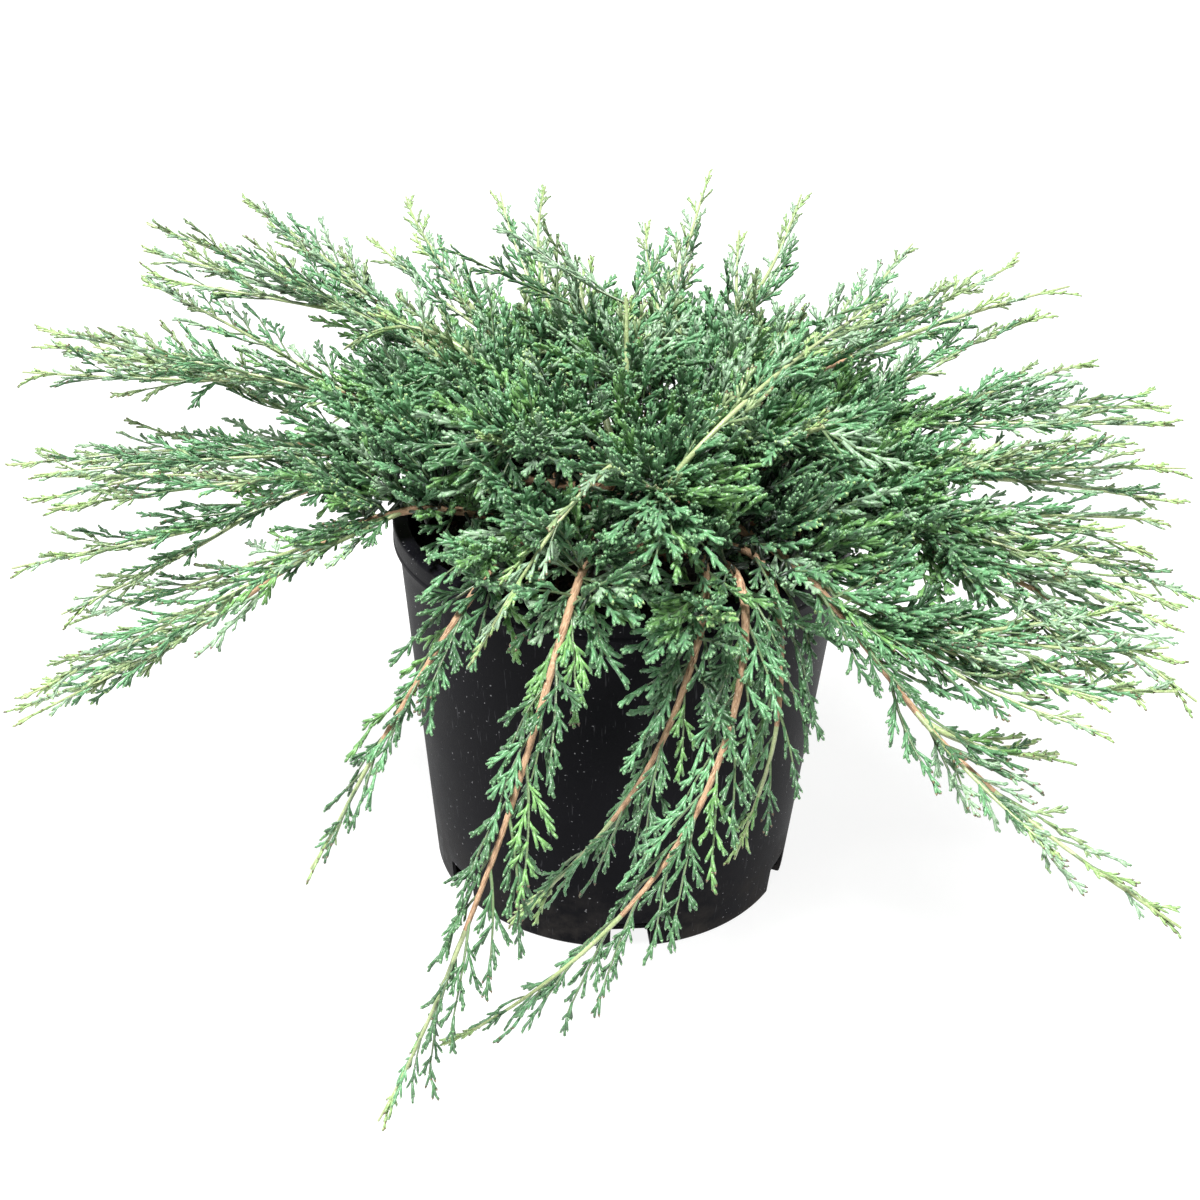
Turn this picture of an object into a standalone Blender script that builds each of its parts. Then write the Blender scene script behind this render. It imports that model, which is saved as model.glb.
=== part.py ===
"""A spreading juniper in its round nursery pot.

Metres, +Z up, front at -Y. The origin is the centre of the pot's flat underside.
The root ball fills the pot, a short stem stands on it, limbs spread from the stem
over the rim, and each limb ends where it enters its own plume of foliage. Seven
crown tufts stand round the top of the stem and make the dome.
"""
import math
import random
from collections import namedtuple

import bmesh
import bpy
import numpy as np
from mathutils import Matrix, Vector

# Driving sizes of the pot
RIM_RADIUS = 0.140
WALL_TOP_RADIUS = 0.1368
BASE_RADIUS = 0.1173
POT_HEIGHT = 0.2435
WALL = 0.0024
FLOOR = 0.003
LIP_HEIGHT = 0.014
LIP_WIDTH = 0.0095
LIP_EDGE = 0.0015
POT_STEPS = 40
NOTCH_COUNT = 6
NOTCH_FIRST = math.radians(277)
NOTCH_WIDTH = 0.025
NOTCH_HEIGHT = 0.020
NOTCH_DEPTH = 0.018

# Driving sizes of the root ball and the stem
GAP = 0.0003
SOIL_EDGE_HEIGHT = 0.212
SOIL_CENTRE_HEIGHT = 0.2175
SOIL_CENTRE_RADIUS = 0.034
SOIL_MIDDLE_SHARE = 0.6
SOIL_FOOT_HEIGHT = 0.022
SOIL_FOOT_STEP = 0.001
SOIL_STEPS = 24
STEM_FLARE_RADIUS = 0.027
STEM_FLARE_HEIGHT = 0.006
STEM_FLARE_KNEE = 0.0025
STEM_FLAT_SHARE = 0.6
STEM_FOOT_RADIUS = 0.0155
STEM_TOP_RADIUS = 0.0120
STEM_TOP = 0.286
STEM_STEPS = 12

# Driving sizes of the limbs and of the foliage on them
OVER_RADIUS = 0.144
LOWEST_TIER = 0.228
TIER_STEP = 0.010
LIMB_ROOT_RADIUS = 0.0034
SHOOT_TIP_RADIUS = 0.0007
TAPER_POWER = 0.8
STRAIGHT_END = 0.004
ROUTE_POINTS = 61
LIMB_SECTIONS = 6
SHOOT_SECTIONS = 6
FORK_SECTIONS = 3
DRAWN_STEPS = 8
FORKED_REACH = 0.34
FORK_START = 0.36
FORK_PITCH = 0.20
FORK_LEANS = (0.42, 0.62)
FORK_ROLLS = (-0.3, 0.5)
FORK_SHARES = (0.48, 0.62)
FORK_BEND = 0.3
SPRAY_LENGTH = 0.080
SPRAY_WIDTH = 0.035
SPRAY_THICKNESS = 0.0030
SPRAY_PITCH = 0.048
END_SPRAY_LENGTH = 0.046
SPRAY_ROLL = 0.9
SPRAY_TWIST = 0.4
SPRAY_SHRINKS = (1.0, 0.8, 0.62)
SPRAY_ROOT_SHARE = 0.2
PLUME_LEAN = 0.52
FORK_LEAN = 0.60
HANGING_REACH = 0.31
HANGING_PITCH = 0.034
HANGING_LENGTH = 0.068
CROWN_SPRAYS = 7
CROWN_SPRAY_LENGTH = 0.068
CROWN_LEAFY = (0.35, 0.95)
CROWN_LEANS = (1.25, 0.50)
CROWN_STEM_SHARES = (0.1, 0.5)
CROWN_BEND = (0.62, 0.45)
CROWN_TOP_BEND = (0.3, 0.04)
CORE_RADIUS = 0.019
CORE_SPIKE = 0.024
CORE_PLACES = (0.38, 0.64, 0.90)
CORE_SHRINKS = (1.0, 0.85, 0.7, 0.55, 0.4)
CROWN_TOP = 0.392
CLEAR = 0.0015
FLOOR_CLEAR = 0.004
TRIES = 8
UPRIGHT = 0.995

Limb = namedtuple("Limb", "name azimuth reach tip over bulge turn tier leaf_from")
Crown = namedtuple("Crown", "name azimuth reach tip tier")

# Azimuths in degrees from +X towards +Y, so the front is -90. Reach and tip are the
# radius and height of the furthest tip, over is the height above the rim, bulge lifts
# the middle of the outer stretch, and turn swings the root round from the tip.
LIMBS = (
    Limb("left_low", 190, 0.374, 0.124, 0.262, 0.002, 14, 1, 0.145),
    Limb("left_mid", 184, 0.374, 0.202, 0.266, -0.008, -4, 3, 0.140),
    Limb("left_long", 171, 0.408, 0.231, 0.264, 0.004, -4, 0, 0.135),
    Limb("left_upper", 160, 0.425, 0.286, 0.290, 0.006, 6, 2, 0.120),
    Limb("left_rising", 149, 0.400, 0.336, 0.305, 0.004, -6, 4, 0.110),
    Limb("back_left", 137, 0.360, 0.348, 0.300, 0.006, 4, 1, 0.110),
    Limb("back_left_low", 128, 0.330, 0.165, 0.262, 0.026, -14, 0, 0.130),
    Limb("back_left_high", 121, 0.325, 0.362, 0.312, 0.004, 8, 3, 0.110),
    Limb("back_tall", 103, 0.290, 0.372, 0.318, -0.002, 10, 2, 0.100),
    Limb("back_low", 92, 0.320, 0.125, 0.262, 0.030, -4, 4, 0.130),
    Limb("back_spire", 79, 0.280, 0.385, 0.318, -0.004, 2, 1, 0.100),
    Limb("back_right_tall", 62, 0.245, 0.388, 0.330, -0.004, -4, 3, 0.095),
    Limb("back_right_low", 53, 0.325, 0.170, 0.262, 0.026, -6, 0, 0.130),
    Limb("right_rising", 39, 0.350, 0.346, 0.305, 0.004, -4, 2, 0.110),
    Limb("right_upper", 27, 0.325, 0.350, 0.310, 0.002, 6, 4, 0.110),
    Limb("right_high", 14, 0.360, 0.290, 0.285, 0.006, 2, 1, 0.115),
    Limb("right_long", 3, 0.345, 0.254, 0.272, 0.008, -4, 3, 0.120),
    Limb("right_mid", -8, 0.345, 0.222, 0.262, 0.010, -2, 0, 0.120),
    Limb("right_low", -22, 0.345, 0.200, 0.266, 0.008, 6, 2, 0.130),
    Limb("right_droop", -41.6, 0.382, 0.143, 0.264, -0.010, -8, 4, 0.160),
    Limb("front_right", -68, 0.184, 0.112, 0.260, 0.014, 16, 1, 0.100),
    Limb("front_bright", -109, 0.176, 0.058, 0.262, 0.020, 44, 3, 0.105),
    Limb("front_long", -109, 0.262, 0.040, 0.260, 0.020, 52, 0, 0.110),
    Limb("front_trailing", -113, 0.300, 0.012, 0.270, 0.034, 16, 2, 0.120),
    Limb("front_left", -131, 0.250, 0.108, 0.262, 0.018, 14, 4, 0.120),
)
CROWNS = (
    Crown("crown_top", 95, 0.030, 0.368, 6),
    Crown("crown_front", 280, 0.135, 0.312, 5),
    Crown("crown_front_left", 230, 0.118, 0.328, 5),
    Crown("crown_left", 176, 0.125, 0.345, 5),
    Crown("crown_back", 108, 0.115, 0.362, 5),
    Crown("crown_right", 30, 0.125, 0.352, 5),
    Crown("crown_front_right", 326, 0.130, 0.332, 5),
)


def clear_scene():
    """Remove every object that the file starts with."""
    for obj in list(bpy.data.objects):
        bpy.data.objects.remove(obj, do_unlink=True)


def collection(name):
    """A new collection in the scene."""
    new = bpy.data.collections.new(name)
    bpy.context.scene.collection.children.link(new)
    return new


def material(name, colour, roughness, metallic=0.0):
    """A plain Principled material."""
    new = bpy.data.materials.new(name)
    new.use_nodes = True
    shader = new.node_tree.nodes["Principled BSDF"]
    shader.inputs["Base Color"].default_value = (*colour, 1.0)
    shader.inputs["Roughness"].default_value = roughness
    shader.inputs["Metallic"].default_value = metallic
    return new


def add_object(name, data, into, finish=None):
    """A new object in a collection, with its finish."""
    obj = bpy.data.objects.new(name, data)
    into.objects.link(obj)
    if finish is not None:
        data.materials.append(finish)
    return obj


def closed_mesh(obj):
    """The evaluated object as a mesh with its loose caps welded and faces outwards."""
    bpy.context.view_layer.update()
    graph = bpy.context.evaluated_depsgraph_get()
    mesh = bpy.data.meshes.new_from_object(obj.evaluated_get(graph))
    work = bmesh.new()
    work.from_mesh(mesh)
    bmesh.ops.remove_doubles(work, verts=work.verts, dist=1e-6)
    bmesh.ops.triangulate(work, faces=work.faces)
    bmesh.ops.recalc_face_normals(work, faces=work.faces)
    work.to_mesh(mesh)
    work.free()
    return mesh


def turned(name, profile, steps, into, finish):
    """A profile in the XZ plane, top to bottom on its outer side, turned about Z."""
    mesh = bpy.data.meshes.new(name)
    mesh.from_pydata([(r, 0, z) for r, z in profile],
                     [(i, i + 1) for i in range(len(profile) - 1)], [])
    obj = add_object(name, mesh, into, finish)
    screw = obj.modifiers.new("turn", "SCREW")
    screw.steps = steps
    screw.render_steps = steps
    screw.use_merge_vertices = True
    screw.merge_threshold = 1e-5
    return obj


def wall_radius(z):
    """The outer radius of the pot's tapered wall at a height."""
    return BASE_RADIUS + (WALL_TOP_RADIUS - BASE_RADIUS) * z / (POT_HEIGHT - LIP_HEIGHT)


def make_pot(into, cutters, finish):
    """The pot: a tapered wall, a flat floor, a thick lip and notches at the foot."""
    lip_bottom = POT_HEIGHT - LIP_HEIGHT
    lip_inner = RIM_RADIUS - LIP_WIDTH
    profile = (
        (0, FLOOR),
        (wall_radius(FLOOR) - WALL, FLOOR),
        (wall_radius(lip_bottom) - WALL, lip_bottom - 2 * WALL),
        (lip_inner, lip_bottom),
        (lip_inner, POT_HEIGHT - LIP_EDGE),
        (lip_inner + LIP_EDGE, POT_HEIGHT),
        (RIM_RADIUS - LIP_EDGE, POT_HEIGHT),
        (RIM_RADIUS, POT_HEIGHT - LIP_EDGE),
        (RIM_RADIUS, lip_bottom),
        (WALL_TOP_RADIUS, lip_bottom - GAP),
        (BASE_RADIUS, LIP_EDGE),
        (BASE_RADIUS - LIP_EDGE, 0),
        (0, 0),
    )
    pot = turned("pot", profile, POT_STEPS, into, finish)
    for k in range(NOTCH_COUNT):
        angle = NOTCH_FIRST + 2 * math.pi * k / NOTCH_COUNT
        bpy.ops.mesh.primitive_cube_add(size=1)
        cutter = bpy.context.object
        cutter.name = f"notch_cutter_{k + 1}"
        cutter.data.transform(Matrix.Diagonal((2 * NOTCH_DEPTH, NOTCH_WIDTH, 2 * NOTCH_HEIGHT, 1)))
        cutter.location = (BASE_RADIUS * math.cos(angle), BASE_RADIUS * math.sin(angle), 0)
        cutter.rotation_euler = (0, 0, angle)
        cutter.hide_render = True
        cutter.display_type = "WIRE"
        for owner in list(cutter.users_collection):
            owner.objects.unlink(cutter)
        cutters.objects.link(cutter)
    cut = pot.modifiers.new("notches", "BOOLEAN")
    cut.operation = "DIFFERENCE"
    cut.operand_type = "COLLECTION"
    cut.collection = cutters


def make_soil(into, finish):
    """The root ball, mounded a little at the stem, with its foot set back behind the notches."""
    foot_radius = BASE_RADIUS - NOTCH_DEPTH - SOIL_FOOT_STEP
    profile = (
        (0, SOIL_CENTRE_HEIGHT),
        (SOIL_CENTRE_RADIUS, SOIL_CENTRE_HEIGHT),
        (SOIL_MIDDLE_SHARE * WALL_TOP_RADIUS, 0.5 * (SOIL_CENTRE_HEIGHT + SOIL_EDGE_HEIGHT)),
        (wall_radius(SOIL_EDGE_HEIGHT) - WALL - 2 * GAP, SOIL_EDGE_HEIGHT),
        (wall_radius(SOIL_FOOT_HEIGHT) - WALL - 2 * GAP, SOIL_FOOT_HEIGHT),
        (foot_radius, SOIL_FOOT_HEIGHT),
        (foot_radius, FLOOR + GAP),
        (0, FLOOR + GAP),
    )
    turned("soil", profile, SOIL_STEPS, into, finish)


def stem_radius(z):
    """The radius of the stem above its root flare."""
    share = (z - SOIL_CENTRE_HEIGHT) / (STEM_TOP - SOIL_CENTRE_HEIGHT)
    return STEM_FOOT_RADIUS + (STEM_TOP_RADIUS - STEM_FOOT_RADIUS) * share


def make_stem(into, finish):
    """The short stem, cut flat where it meets the soil, with its root flare."""
    foot = SOIL_CENTRE_HEIGHT + GAP
    shoulder = STEM_TOP - (1 - STEM_FLAT_SHARE) * STEM_TOP_RADIUS
    profile = (
        (0, STEM_TOP),
        (STEM_FLAT_SHARE * STEM_TOP_RADIUS, STEM_TOP),
        (stem_radius(shoulder), shoulder),
        (stem_radius(foot + STEM_FLARE_HEIGHT), foot + STEM_FLARE_HEIGHT),
        (0.5 * (STEM_FOOT_RADIUS + STEM_FLARE_RADIUS), foot + STEM_FLARE_KNEE),
        (STEM_FLARE_RADIUS, foot),
        (0, foot),
    )
    turned("stem", profile, STEM_STEPS, into, finish)


def smooth_line(points, count):
    """A smooth line through the points, at even steps."""
    points = np.array(points, float)
    spans = np.linalg.norm(np.diff(points, axis=0), axis=1)
    knots = np.concatenate([[0], np.cumsum(spans)])
    slopes = np.gradient(points, knots, axis=0)
    at = np.linspace(0, knots[-1], count)
    left = np.clip(np.searchsorted(knots, at, side="right") - 1, 0, len(knots) - 2)
    span = (knots[left + 1] - knots[left])[:, None]
    u = (at - knots[left])[:, None] / span
    return (points[left] * (2 * u**3 - 3 * u**2 + 1) + slopes[left] * span * (u**3 - 2 * u**2 + u)
            + points[left + 1] * (3 * u**2 - 2 * u**3) + slopes[left + 1] * span * (u**3 - u**2))


def around(line, azimuths):
    """Turn a line of radius and height into points in space."""
    return np.stack([line[:, 0] * np.cos(azimuths), line[:, 0] * np.sin(azimuths), line[:, 1]], 1)


def limb_route(limb):
    """From the stem's side, over the rim, to the furthest tip."""
    height = LOWEST_TIER + TIER_STEP * limb.tier
    start = stem_radius(height) + GAP
    over = np.array([OVER_RADIUS, limb.over])
    tip = np.array([limb.reach, limb.tip])
    along = tip - over
    outward = np.array([-along[1], along[0]]) / np.hypot(*along)
    middle = 0.5 * (over + tip) + limb.bulge * outward
    line = smooth_line([(start, height), (start + STRAIGHT_END, height), over, middle, tip], ROUTE_POINTS)
    share = np.linspace(0, 1, ROUTE_POINTS)
    return around(line, np.radians(limb.azimuth + limb.turn * (1 - share**2)))


def crown_route(crown):
    """From the stem's shoulder or its top, up and out to the tuft's tip."""
    height = LOWEST_TIER + TIER_STEP * crown.tier
    if height > STEM_TOP:
        bend = (CROWN_TOP_BEND[0] * crown.reach, STEM_TOP + CROWN_TOP_BEND[1])
        line = smooth_line([(0, STEM_TOP + GAP), (0, STEM_TOP + STRAIGHT_END), bend,
                            (crown.reach, crown.tip)], ROUTE_POINTS)
    else:
        start = stem_radius(height) + GAP
        bend = (CROWN_BEND[0] * crown.reach, between((height, crown.tip), CROWN_BEND[1]))
        line = smooth_line([(start, height), (start + STRAIGHT_END, height), bend,
                            (crown.reach, crown.tip)], ROUTE_POINTS)
    return around(line, np.full(ROUTE_POINTS, math.radians(crown.azimuth)))


def route_radius(share):
    """The radius of a limb and its shoot at a share of the whole route."""
    return LIMB_ROOT_RADIUS + (SHOOT_TIP_RADIUS - LIMB_ROOT_RADIUS) * share**TAPER_POWER


def split_route(route, leaf_from):
    """The limb's points, and the shoot's, which start clear of the limb's end."""
    radii = np.hypot(route[:, 0], route[:, 1])
    cut = int(np.argmax(radii >= leaf_from))
    way = route[cut + 1] - route[cut - 1]
    way /= np.linalg.norm(way)
    end = route[cut]
    bare = np.vstack([route[:cut - 1], end - STRAIGHT_END * way, end])
    shoot = np.vstack([end + GAP * way, end + (GAP + STRAIGHT_END) * way, route[cut + 2:]])
    return bare, shoot, cut / (ROUTE_POINTS - 1)


def thin_out(points, count):
    """A few of the points: both at each end, and the others evenly between."""
    picks = np.round(np.linspace(1, len(points) - 2, count - 2)).astype(int)
    keep = np.unique(np.concatenate([[0], picks, [len(points) - 1]]))
    return points[keep], keep / (len(points) - 1)


def drawn_line(coarse):
    """Close points along the straight stretches between a few points."""
    at = np.arange(0, len(coarse) - 1 + 1e-9, 1 / DRAWN_STEPS)
    return np.stack([np.interp(at, np.arange(len(coarse)), coarse[:, k]) for k in range(3)], 1)


def tube(name, points, radii, into, finish, section=None):
    """A tapering tube on a curve, six-sided or with the given section."""
    curve = bpy.data.curves.new(name, "CURVE")
    curve.dimensions = "3D"
    spline = curve.splines.new("POLY")
    spline.points.add(len(points) - 1)
    for place, point, radius in zip(spline.points, points, radii):
        place.co = (*point, 1)
        place.radius = radius / SHOOT_TIP_RADIUS
    curve.use_fill_caps = True
    if section is None:
        curve.bevel_depth = SHOOT_TIP_RADIUS
        curve.bevel_resolution = 1
    else:
        curve.bevel_mode = "OBJECT"
        curve.bevel_object = section
    return add_object(name, curve, into, finish)


def as_mesh_object(obj, into, finish=None):
    """Swap a curve object for a closed mesh object of the same name."""
    name = obj.name
    place = obj.matrix_world.copy()
    mesh = closed_mesh(obj)
    old = obj.data
    bpy.data.objects.remove(obj, do_unlink=True)
    bpy.data.curves.remove(old)
    new = add_object(name, mesh, into)
    new.matrix_world = place
    if finish is not None:
        mesh.materials.clear()
        mesh.materials.append(finish)
    return new


def outline_object(name, outline, extrude, into):
    """A flat outline as a 2D curve, filled, with half its thickness each way."""
    curve = bpy.data.curves.new(name, "CURVE")
    curve.dimensions = "2D"
    curve.fill_mode = "BOTH"
    curve.extrude = extrude
    spline = curve.splines.new("POLY")
    spline.points.add(len(outline) - 1)
    for place, point in zip(spline.points, outline):
        place.co = (*point, 0, 1)
    spline.use_cyclic_u = True
    return add_object(name, curve, into)


def spray_outline():
    """A toothed blade of unit length and width: root, two teeth each side and a tip."""
    side = [(-0.04, 0.05), (0.45, 0.50), (0.54, 0.22), (0.78, 0.36), (0.84, 0.13)]
    return [*side, (1.0, 0.0), *[(x, -y) for x, y in reversed(side)]]


def spray_mesh():
    """The toothed blade as a closed mesh, thickest in the middle and sharp-edged."""
    mesh = bpy.data.meshes.new("blade")
    work = bmesh.new()
    for flip in (1, -1):
        edge = [work.verts.new((x, flip * y, 0)) for x, y in spray_outline()]
        face = work.faces.new(edge[::-1])
        face.normal_update()
        bmesh.ops.poke(work, faces=[face], offset=0.5 * SPRAY_THICKNESS, center_mode="MEAN_WEIGHTED")
    bmesh.ops.remove_doubles(work, verts=work.verts, dist=1e-6)
    bmesh.ops.recalc_face_normals(work, faces=work.faces)
    work.to_mesh(mesh)
    work.free()
    return mesh


def between(ends, share):
    """The value at a share of the way from the first of two to the second."""
    return ends[0] + (ends[1] - ends[0]) * share


def across(way, roll):
    """A unit vector square to the way, at a roll angle from straight up."""
    up = Vector((0, 0, 1))
    if abs(way.z) > UPRIGHT:
        up = Vector((1, 0, 0))
    side = way.cross(up).normalized()
    return (Matrix.Rotation(roll, 3, way) @ side).normalized()


class Space:
    """Which mass each point in space belongs to, and what no foliage may touch."""

    def __init__(self, shoots, bare_limbs, slack):
        """Keep the masses' middle lines, their reach and the limbs' points with their radii."""
        self.lines = [np.asarray(line)[::3] for line in shoots]
        self.reach = [math.hypot(*line[-1][:2]) + more for line, more in zip(shoots, slack)]
        self.limb_points = np.vstack([points for points, _ in bare_limbs])
        self.limb_radii = np.concatenate([radii for _, radii in bare_limbs])

    def free(self, points, owner):
        """True where all the points lie in the owner's space, clear of the rest."""
        points = np.asarray(points)
        if np.hypot(points[:, 0], points[:, 1]).max() > self.reach[owner]:
            return False
        away = np.array([self.distance(points, line) for line in self.lines])
        own = away[owner]
        others = np.delete(away, owner, axis=0).min(axis=0)
        if (others - own < 2 * CLEAR).any():
            return False
        limb = np.linalg.norm(points[:, None] - self.limb_points[None], axis=2) - self.limb_radii
        if limb.min() < CLEAR:
            return False
        return self.clear_of_pot(points)

    @staticmethod
    def distance(points, line):
        """The distance from each point to a line of points."""
        return np.linalg.norm(points[:, None] - line[None], axis=2).min(axis=1)

    @staticmethod
    def clear_of_pot(points):
        """True where no point is in or near the pot, the soil, the stem or the floor."""
        radius = np.hypot(points[:, 0], points[:, 1])
        z = points[:, 2]
        beside = radius > wall_radius(np.minimum(z, POT_HEIGHT)) + 2 * CLEAR
        beside &= (radius > RIM_RADIUS + 2 * CLEAR) | (z < POT_HEIGHT - LIP_HEIGHT - 2 * CLEAR)
        inside = (radius < RIM_RADIUS - LIP_WIDTH - 2 * CLEAR) & (z > SOIL_CENTRE_HEIGHT + 2 * CLEAR)
        above = z > POT_HEIGHT + 2 * CLEAR
        stem = (radius < STEM_FOOT_RADIUS + CLEAR) & (z < STEM_TOP + CLEAR)
        within = (z > FLOOR_CLEAR) & (z < CROWN_TOP)
        return bool(((beside | inside | above) & within & ~stem).all())


def place_spray(root, aim, normal, length):
    """The matrix that sets the unit blade at its root, along its aim and square to a normal."""
    side = normal.cross(aim).normalized()
    turn = Matrix((aim, side, aim.cross(side))).transposed().to_4x4()
    width = SPRAY_WIDTH * length / SPRAY_LENGTH
    return Matrix.Translation(root) @ turn @ Matrix.Diagonal((length, width, 1, 1))


class Foliage:
    """Makes the masses: a stem, forks and sprays fused into one solid each."""

    def __init__(self, into, space, finish):
        """Keep the space rule and the blade and section that all masses share."""
        self.into = into
        self.space = space
        self.finish = finish
        self.work = collection("work")
        corners = [(SHOOT_TIP_RADIUS * math.cos(a), SHOOT_TIP_RADIUS * math.sin(a))
                   for a in (0, 2 * math.pi / 3, 4 * math.pi / 3)]
        self.section = outline_object("twig_section", corners, 0, self.work)
        self.section.data.fill_mode = "NONE"
        self.blade = spray_mesh()
        self.edge = np.array([(*point, 0) for point in spray_outline()])

    def twig(self, name, points, radii, into):
        """A three-sided tapering twig as a closed mesh."""
        return as_mesh_object(tube(name, points, radii, into, None, self.section), into)

    def spray(self, parts, owner, root, aim, normal, length):
        """One toothed blade, made shorter or left out where its space is taken."""
        for shrink in SPRAY_SHRINKS:
            matrix = place_spray(root, aim, normal, length * shrink)
            edge = np.vstack([self.edge, 0.5 * (self.edge + np.roll(self.edge, 1, axis=0))])
            points = [matrix @ Vector(point) for point in edge]
            outer = [point for point in points if (point - root).length > SPRAY_ROOT_SHARE * length]
            if self.space.free(outer, owner):
                blade = add_object("spray", self.blade, parts)
                blade.matrix_world = matrix
                return True
        return False

    def sprays_along(self, parts, owner, line, rng, pitch, length, angle):
        """Sprays to alternate sides of a line of points, leaning to its tip."""
        spans = np.linalg.norm(np.diff(line, axis=0), axis=1)
        knots = np.concatenate([[0], np.cumsum(spans)])
        at = 0.4 * pitch
        side = rng.choice((-1, 1))
        while at < knots[-1] - 0.5 * pitch:
            root = Vector([np.interp(at, knots, line[:, k]) for k in range(3)])
            ahead = Vector([np.interp(at + 0.004, knots, line[:, k]) for k in range(3)])
            way = (ahead - root).normalized()
            for _ in range(TRIES):
                roll = rng.uniform(-SPRAY_ROLL, SPRAY_ROLL)
                out = across(way, roll) * side
                lean = angle * rng.uniform(0.85, 1.2)
                aim = (way * math.cos(lean) + out * math.sin(lean)).normalized()
                normal = Matrix.Rotation(rng.uniform(-SPRAY_TWIST, SPRAY_TWIST), 3, aim) @ way.cross(out)
                share = at / knots[-1]
                if self.spray(parts, owner, root, aim, normal,
                              length * (1.05 - 0.35 * share) * rng.uniform(0.85, 1.1)):
                    break
            side = -side
            at += pitch * rng.uniform(0.85, 1.15)

    def end_spray(self, parts, owner, line, roll):
        """A blade along the last stretch of a line, ending at its tip."""
        tip = Vector(line[-1])
        spans = np.linalg.norm(line - line[-1], axis=1)
        root = Vector(line[int(np.argmax(spans < END_SPRAY_LENGTH))])
        length = (tip - root).length
        way = (tip - root) / length
        blade = add_object("spray", self.blade, parts)
        blade.matrix_world = place_spray(root, way, way.cross(across(way, roll)), length)

    def fork(self, parts, owner, line, start, side, rng):
        """A side shoot off a limb's shoot, with its own sprays and end spray."""
        root = line[start]
        rest = np.linalg.norm(line[-1] - root)
        way = Vector(line[start + 2] - root).normalized()
        for _ in range(TRIES):
            lean = rng.uniform(*FORK_LEANS)
            out = across(way, rng.uniform(*FORK_ROLLS)) * side
            aim = way * math.cos(lean) + out * math.sin(lean)
            length = rest * rng.uniform(*FORK_SHARES)
            bent = [root + length * s * np.array(aim * (1 - FORK_BEND * s) + way * FORK_BEND * s)
                    for s in np.linspace(0, 1, 12)]
            if self.space.free(bent[4:], owner):
                break
        else:
            return
        bent = np.array(bent)
        coarse, share = thin_out(bent, FORK_SECTIONS)
        thick = 2.0 * SHOOT_TIP_RADIUS
        self.twig("fork", coarse, thick + (SHOOT_TIP_RADIUS - thick) * share, parts)
        bent = drawn_line(coarse)
        self.sprays_along(parts, owner, bent[4:], rng, SPRAY_PITCH, 0.8 * SPRAY_LENGTH, FORK_LEAN)
        self.end_spray(parts, owner, bent, rng.uniform(-0.6, 0.6))

    def plume(self, name, owner, line, from_share, hanging, forks, rng):
        """The foliage at the end of one limb."""
        parts = collection(f"{name}_parts")
        coarse, share = thin_out(line, SHOOT_SECTIONS)
        radii = route_radius(from_share + (1 - from_share) * share)
        stem = self.twig(name, coarse, radii, self.into)
        line = drawn_line(coarse)
        count = len(line)
        for k in range(forks):
            start = int(count * (FORK_START + FORK_PITCH * k))
            self.fork(parts, owner, line, start, 1 if k % 2 else -1, rng)
        pitch, length = (HANGING_PITCH, HANGING_LENGTH) if hanging else (SPRAY_PITCH, SPRAY_LENGTH)
        self.sprays_along(parts, owner, line[2:], rng, pitch, length, PLUME_LEAN)
        self.end_spray(parts, owner, line, rng.uniform(-0.5, 0.5))
        self.fuse(stem, parts)

    def tuft(self, name, owner, line, rng):
        """A crown tuft: a small core on a stem, with sprays standing out all round."""
        parts = collection(f"{name}_parts")
        coarse, share = thin_out(line, SHOOT_SECTIONS)
        stem = self.twig(name, coarse, route_radius(between(CROWN_STEM_SHARES, share)), self.into)
        line = drawn_line(coarse)
        for place in CORE_PLACES:
            self.core(parts, owner, line, place)
        for k in range(CROWN_SPRAYS):
            share = (k + 0.5) / CROWN_SPRAYS
            here = int(between(CROWN_LEAFY, share) * (len(line) - 1))
            root = Vector(line[here])
            way = Vector(line[here] - line[here - 3]).normalized()
            spin = k * math.pi * (3 - math.sqrt(5))
            lean = between(CROWN_LEANS, share)
            for _ in range(TRIES):
                out = across(way, spin + rng.uniform(-0.5, 0.5))
                aim = (way * math.cos(lean) + out * math.sin(lean)).normalized()
                normal = Matrix.Rotation(rng.uniform(0, math.pi), 3, aim) @ way.cross(out)
                if self.spray(parts, owner, root, aim, normal,
                              CROWN_SPRAY_LENGTH * rng.uniform(0.85, 1.1)):
                    break
        self.end_spray(parts, owner, line, rng.uniform(0, math.pi))
        self.fuse(stem, parts)

    def core(self, parts, owner, line, place):
        """A small dense core with spikes all round, shrunk until it fits its space."""
        middle = line[int(place * (len(line) - 1))]
        for shrink in CORE_SHRINKS:
            work = bmesh.new()
            bmesh.ops.create_icosphere(work, subdivisions=1, radius=CORE_RADIUS * shrink)
            bmesh.ops.poke(work, faces=work.faces, offset=CORE_SPIKE * shrink)
            bmesh.ops.translate(work, vec=middle, verts=work.verts)
            if self.space.free([vert.co for vert in work.verts], owner):
                mesh = bpy.data.meshes.new("core")
                work.to_mesh(mesh)
                work.free()
                add_object("core", mesh, parts)
                return
            work.free()

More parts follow.
